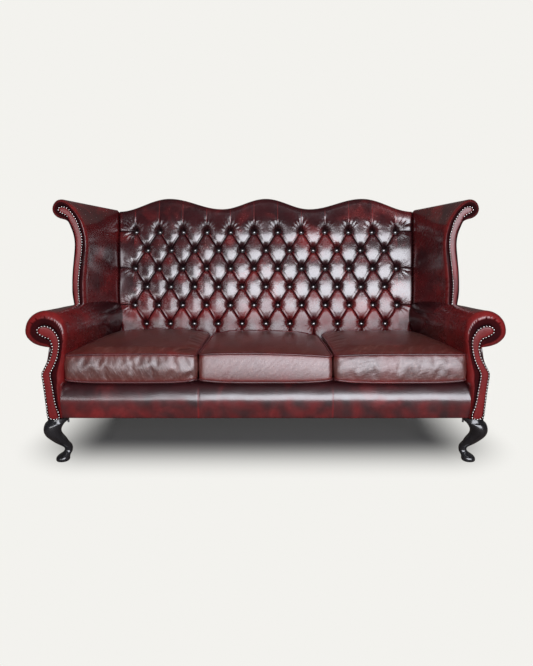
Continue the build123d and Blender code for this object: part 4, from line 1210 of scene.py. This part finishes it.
class SOFA_OT_underside(bpy.types.Operator):
    """Make the platform cloth under the cushions and the dust cloth under the frame"""
    bl_idname = "sofa.underside"
    bl_label = "Platform and dust cloth"

    def execute(self, context):
        self.platform()
        self.dust_cloth()
        return {"FINISHED"}

    def platform(self):
        """The padded deck on the webbing, dished a little and ruffled."""
        front, low, arm_side = ARM_FRONT + 73, 313.5, 823
        rear = back_y_at(-1, low)
        half = [arm_side - SPLAY * (y - ARM_FRONT) - 1 for y in (front, rear)]
        corners = [(-half[0], front), (half[0], front), (half[1], rear), (-half[1], rear)]

        def top(u, v):
            hollow = ((1 - u ** 2) * (1 - v ** 2)) ** 0.5
            return DECK_TOP - 1 - 5 * hollow + 1.2 * ruffle(xyz(u * 8, v * 3, 0), 1.0, 9)

        whole, _ = box_pad((corners, corners), (8.0, 8.0), (lambda u, v: low + 0 * u, top), (110, 36, 4))
        cloth = woven("platform cloth", (0.030, 0.014, 0.012), (0.020, 0.009, 0.008), 420.0)
        dress(finish_mesh(whole, "platform_pad"), cloth, nodes=("seat_deck",))

    def dust_cloth(self):
        """One sheet tacked under the rails, cut out round the legs."""
        front, rear = ARM_FRONT + 22, back_y_at(FRAME_BACK, RAIL_BOTTOM) - 12
        frame_side, narrowing, gap = 884, 0.097, 0.004
        half = [frame_side - narrowing * (y - ARM_FRONT) for y in (front, rear)]
        u, v = np.meshgrid(np.linspace(-1, 1, 121), np.linspace(-1, 1, 41))
        y = front + (rear - front) * (v + 1) / 2
        x = u * (half[0] + (half[1] - half[0]) * (v + 1) / 2)
        z = RAIL_BOTTOM - 0.9 - 4 * ((1 - u ** 2) * (1 - v ** 2)) + 0.4 * np.sin(9 * u) * (1 - v ** 2)
        bm = skin(xyz(x, y, z), around=False, capped=False)
        legs = [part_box(side + leg) for side, _ in SIDES for leg in ("_front_leg", "_rear_leg")]

        def under_leg(point):
            return any(low.x - gap < point.x < high.x + gap and low.y - gap < point.y < high.y + gap
                       for low, high in legs)

        gone = [face for face in bm.faces if any(under_leg(vert.co) for vert in face.verts)]
        bmesh.ops.delete(bm, geom=gone, context="FACES")
        area = sum(face.calc_area() for face in bm.faces)
        cloth = finish_mesh(bm, "dust_cloth_sheet")
        finish = woven("dust cloth", (0.012, 0.012, 0.012), (0.008, 0.008, 0.008), 900.0)
        dress(cloth, finish, nodes=("dust_cloth",))


class SOFA_OT_stage(bpy.types.Operator):
    """Make the floor, the lights, the world and the camera"""
    bl_idname = "sofa.stage"
    bl_label = "Stage"

    camera_place = (0.0036, -2.3595, 0.9297)
    camera_dip = 10.70   # degrees under level

    def execute(self, context):
        scene, s = context.scene, context.scene.sofa_stage
        scene.view_settings.view_transform = "Standard"
        camera = bpy.data.objects.new("camera", bpy.data.cameras.new("camera"))
        scene.collection.objects.link(camera)
        camera.location = self.camera_place
        camera.rotation_euler = (math.radians(90 - self.camera_dip), 0, 0)
        camera.data.lens, camera.data.sensor_width = s.lens, 36
        scene.camera = camera
        self.floor((*s.paper, 1))
        self.world(scene, s.world, (*s.paper, 1))
        self.lamp(scene, "window", (1.05, -4.5, 1.85), (0.4, 0.1, 0.95), (4.4, 2.8), s.key, (0.91, 0.93, 1.0))
        self.lamp(scene, "low window", (-2.0, -4.5, 1.0), (-0.3, 0.1, 0.6), (2.0, 0.9), s.key * 0.08,
                  (0.95, 0.97, 1.0))
        self.lamp(scene, "overhead", (0.0, -0.6, 3.3), (0, 0, 0.4), (3.4, 2.6), s.top, (1, 0.98, 0.95), False)
        self.lamp(scene, "rear", (0.0, 4.2, 2.2), (0, 0, 0.7), (3.0, 2.0), s.rear, (1, 1, 1), False)
        return {"FINISHED"}

    def floor(self, paper):
        """A wide disc: round the sofa, dark grey paper that holds a painted shadow, and plain pale paper
        beyond it.
        """
        bm = bmesh.new()
        bmesh.ops.create_circle(bm, cap_ends=True, segments=96, radius=14)
        floor = finish_mesh(bm, "floor")
        material, tree, shader = principled("floor paper", 0.9, specular=0.1)
        place = object_place(tree)
        # how far a place lies outside the rounded box round the sofa, within which the camera sees the
        # painted shadow
        beyond = vector_node(tree, "ABSOLUTE", vector_node(tree, "SUBTRACT", place, (0, 0.13, 0)))
        beyond = vector_node(tree, "MAXIMUM", vector_node(tree, "SUBTRACT", beyond, (0.74, 0.25, 9)))
        fade = ramp(tree, vector_node(tree, "LENGTH", beyond, output="Value"), 0.0, 0.42)
        path = tree.nodes.new("ShaderNodeLightPath").outputs
        # painted shadow: the paper's own colour is dark grey, so the lamps light it only to a shadow
        fibres = times(tree, noise_node(tree, place, 300.0, 4.0), 0.04)
        colour = mix_colour(tree, fibres, (0.14, 0.137, 0.133, 1), (0.8, 0.79, 0.76, 1))
        # painted reflection: where the leather mirrors the floor, the floor shows dark brown
        mirrored = times(tree, path["Is Glossy Ray"], 0.8)
        feed(tree, shader, {"Base Color": mix_colour(tree, mirrored, colour, (0.10, 0.07, 0.06, 1))})
        glow = add_node(tree, "Emission", {"Color": paper})
        seen = mix_shaders(tree, times(tree, fade, path["Is Camera Ray"]), shader.outputs[0], glow)
        feed(tree, tree.nodes["Material Output"], {"Surface": seen})
        floor.data.materials.append(material)

    def world(self, scene, strength, paper):
        """Pale paper for the camera and behind the sofa, an even low light for the rest."""
        scene.world = world = bpy.data.worlds.new("studio")
        world.use_nodes = True
        tree = world.node_tree
        tree.nodes.clear()
        path = tree.nodes.new("ShaderNodeLightPath").outputs
        toward = add_node(tree, "SeparateXYZ", {0: add_node(tree, "TexCoord", {}, "Generated")}, "Y")
        shine = math_node(tree, "MAXIMUM", path["Is Glossy Ray"], path["Is Transmission Ray"])
        shine = times(tree, times(tree, shine, ramp(tree, toward, 0.2, 0.6)), 0.08)
        shown = math_node(tree, "MAXIMUM", path["Is Camera Ray"], shine)
        dim = math_node(tree, "SUBTRACT", 1.0, times(tree, path["Is Glossy Ray"], 0.85))
        low = add_node(tree, "Background", {"Color": (1, 1, 1, 1), "Strength": times(tree, dim, strength)})
        pale = add_node(tree, "Background", {"Color": paper})
        feed(tree, tree.nodes.new("ShaderNodeOutputWorld"), {"Surface": mix_shaders(tree, shown, low, pale)})

    def lamp(self, scene, name, place, target, sides, power, colour, shine=True):
        """A rectangular lamp that faces a target; without shine no surface mirrors it."""
        light = bpy.data.lights.new(name, "AREA")
        light.shape = "RECTANGLE"
        light.size, light.size_y = sides
        light.energy = power
        light.color = colour
        lamp = bpy.data.objects.new(name, light)
        scene.collection.objects.link(lamp)
        lamp.location = place
        lamp.rotation_euler = (Vector(target) - Vector(place)).to_track_quat("-Z", "Y").to_euler()
        lamp.visible_camera = False
        lamp.visible_glossy = shine


class SOFA_PT_tools(bpy.types.Panel):
    """Steps that dress the sofa, in the order in which they are run"""
    bl_label = "Sofa"
    bl_space_type = "VIEW_3D"
    bl_region_type = "UI"
    bl_category = "Sofa"

    def draw(self, context):
        for item in OPERATORS:
            self.layout.operator(item.bl_idname)
        for name in GROUPS:
            group = getattr(context.scene, name)
            box = self.layout.box()
            for key in group.bl_rna.properties.keys():
                if key not in ("rna_type", "name"):
                    box.prop(group, key)


OPERATORS = (SOFA_OT_stage, SOFA_OT_inside_back, SOFA_OT_buttons, SOFA_OT_outside_back, SOFA_OT_arms,
             SOFA_OT_wings, SOFA_OT_nails, SOFA_OT_front_border, SOFA_OT_cushions, SOFA_OT_underside,
             SOFA_OT_timbers)
GROUPS = {"sofa_back": SofaBack, "sofa_leather": SofaLeather, "sofa_seat": SofaSeat, "sofa_stage": SofaStage}


def register():
    for item in (*GROUPS.values(), *OPERATORS, SOFA_PT_tools):
        bpy.utils.register_class(item)
    for name, group in GROUPS.items():
        setattr(bpy.types.Scene, name, PointerProperty(type=group))


def unregister():
    for name in GROUPS:
        delattr(bpy.types.Scene, name)
    for item in (SOFA_PT_tools, *reversed(OPERATORS), *reversed(GROUPS.values())):
        bpy.utils.unregister_class(item)


def main():
    register()
    for item in OPERATORS:
        group, name = item.bl_idname.split(".")
        getattr(getattr(bpy.ops, group), name)()


if __name__ == "__main__":
    main()
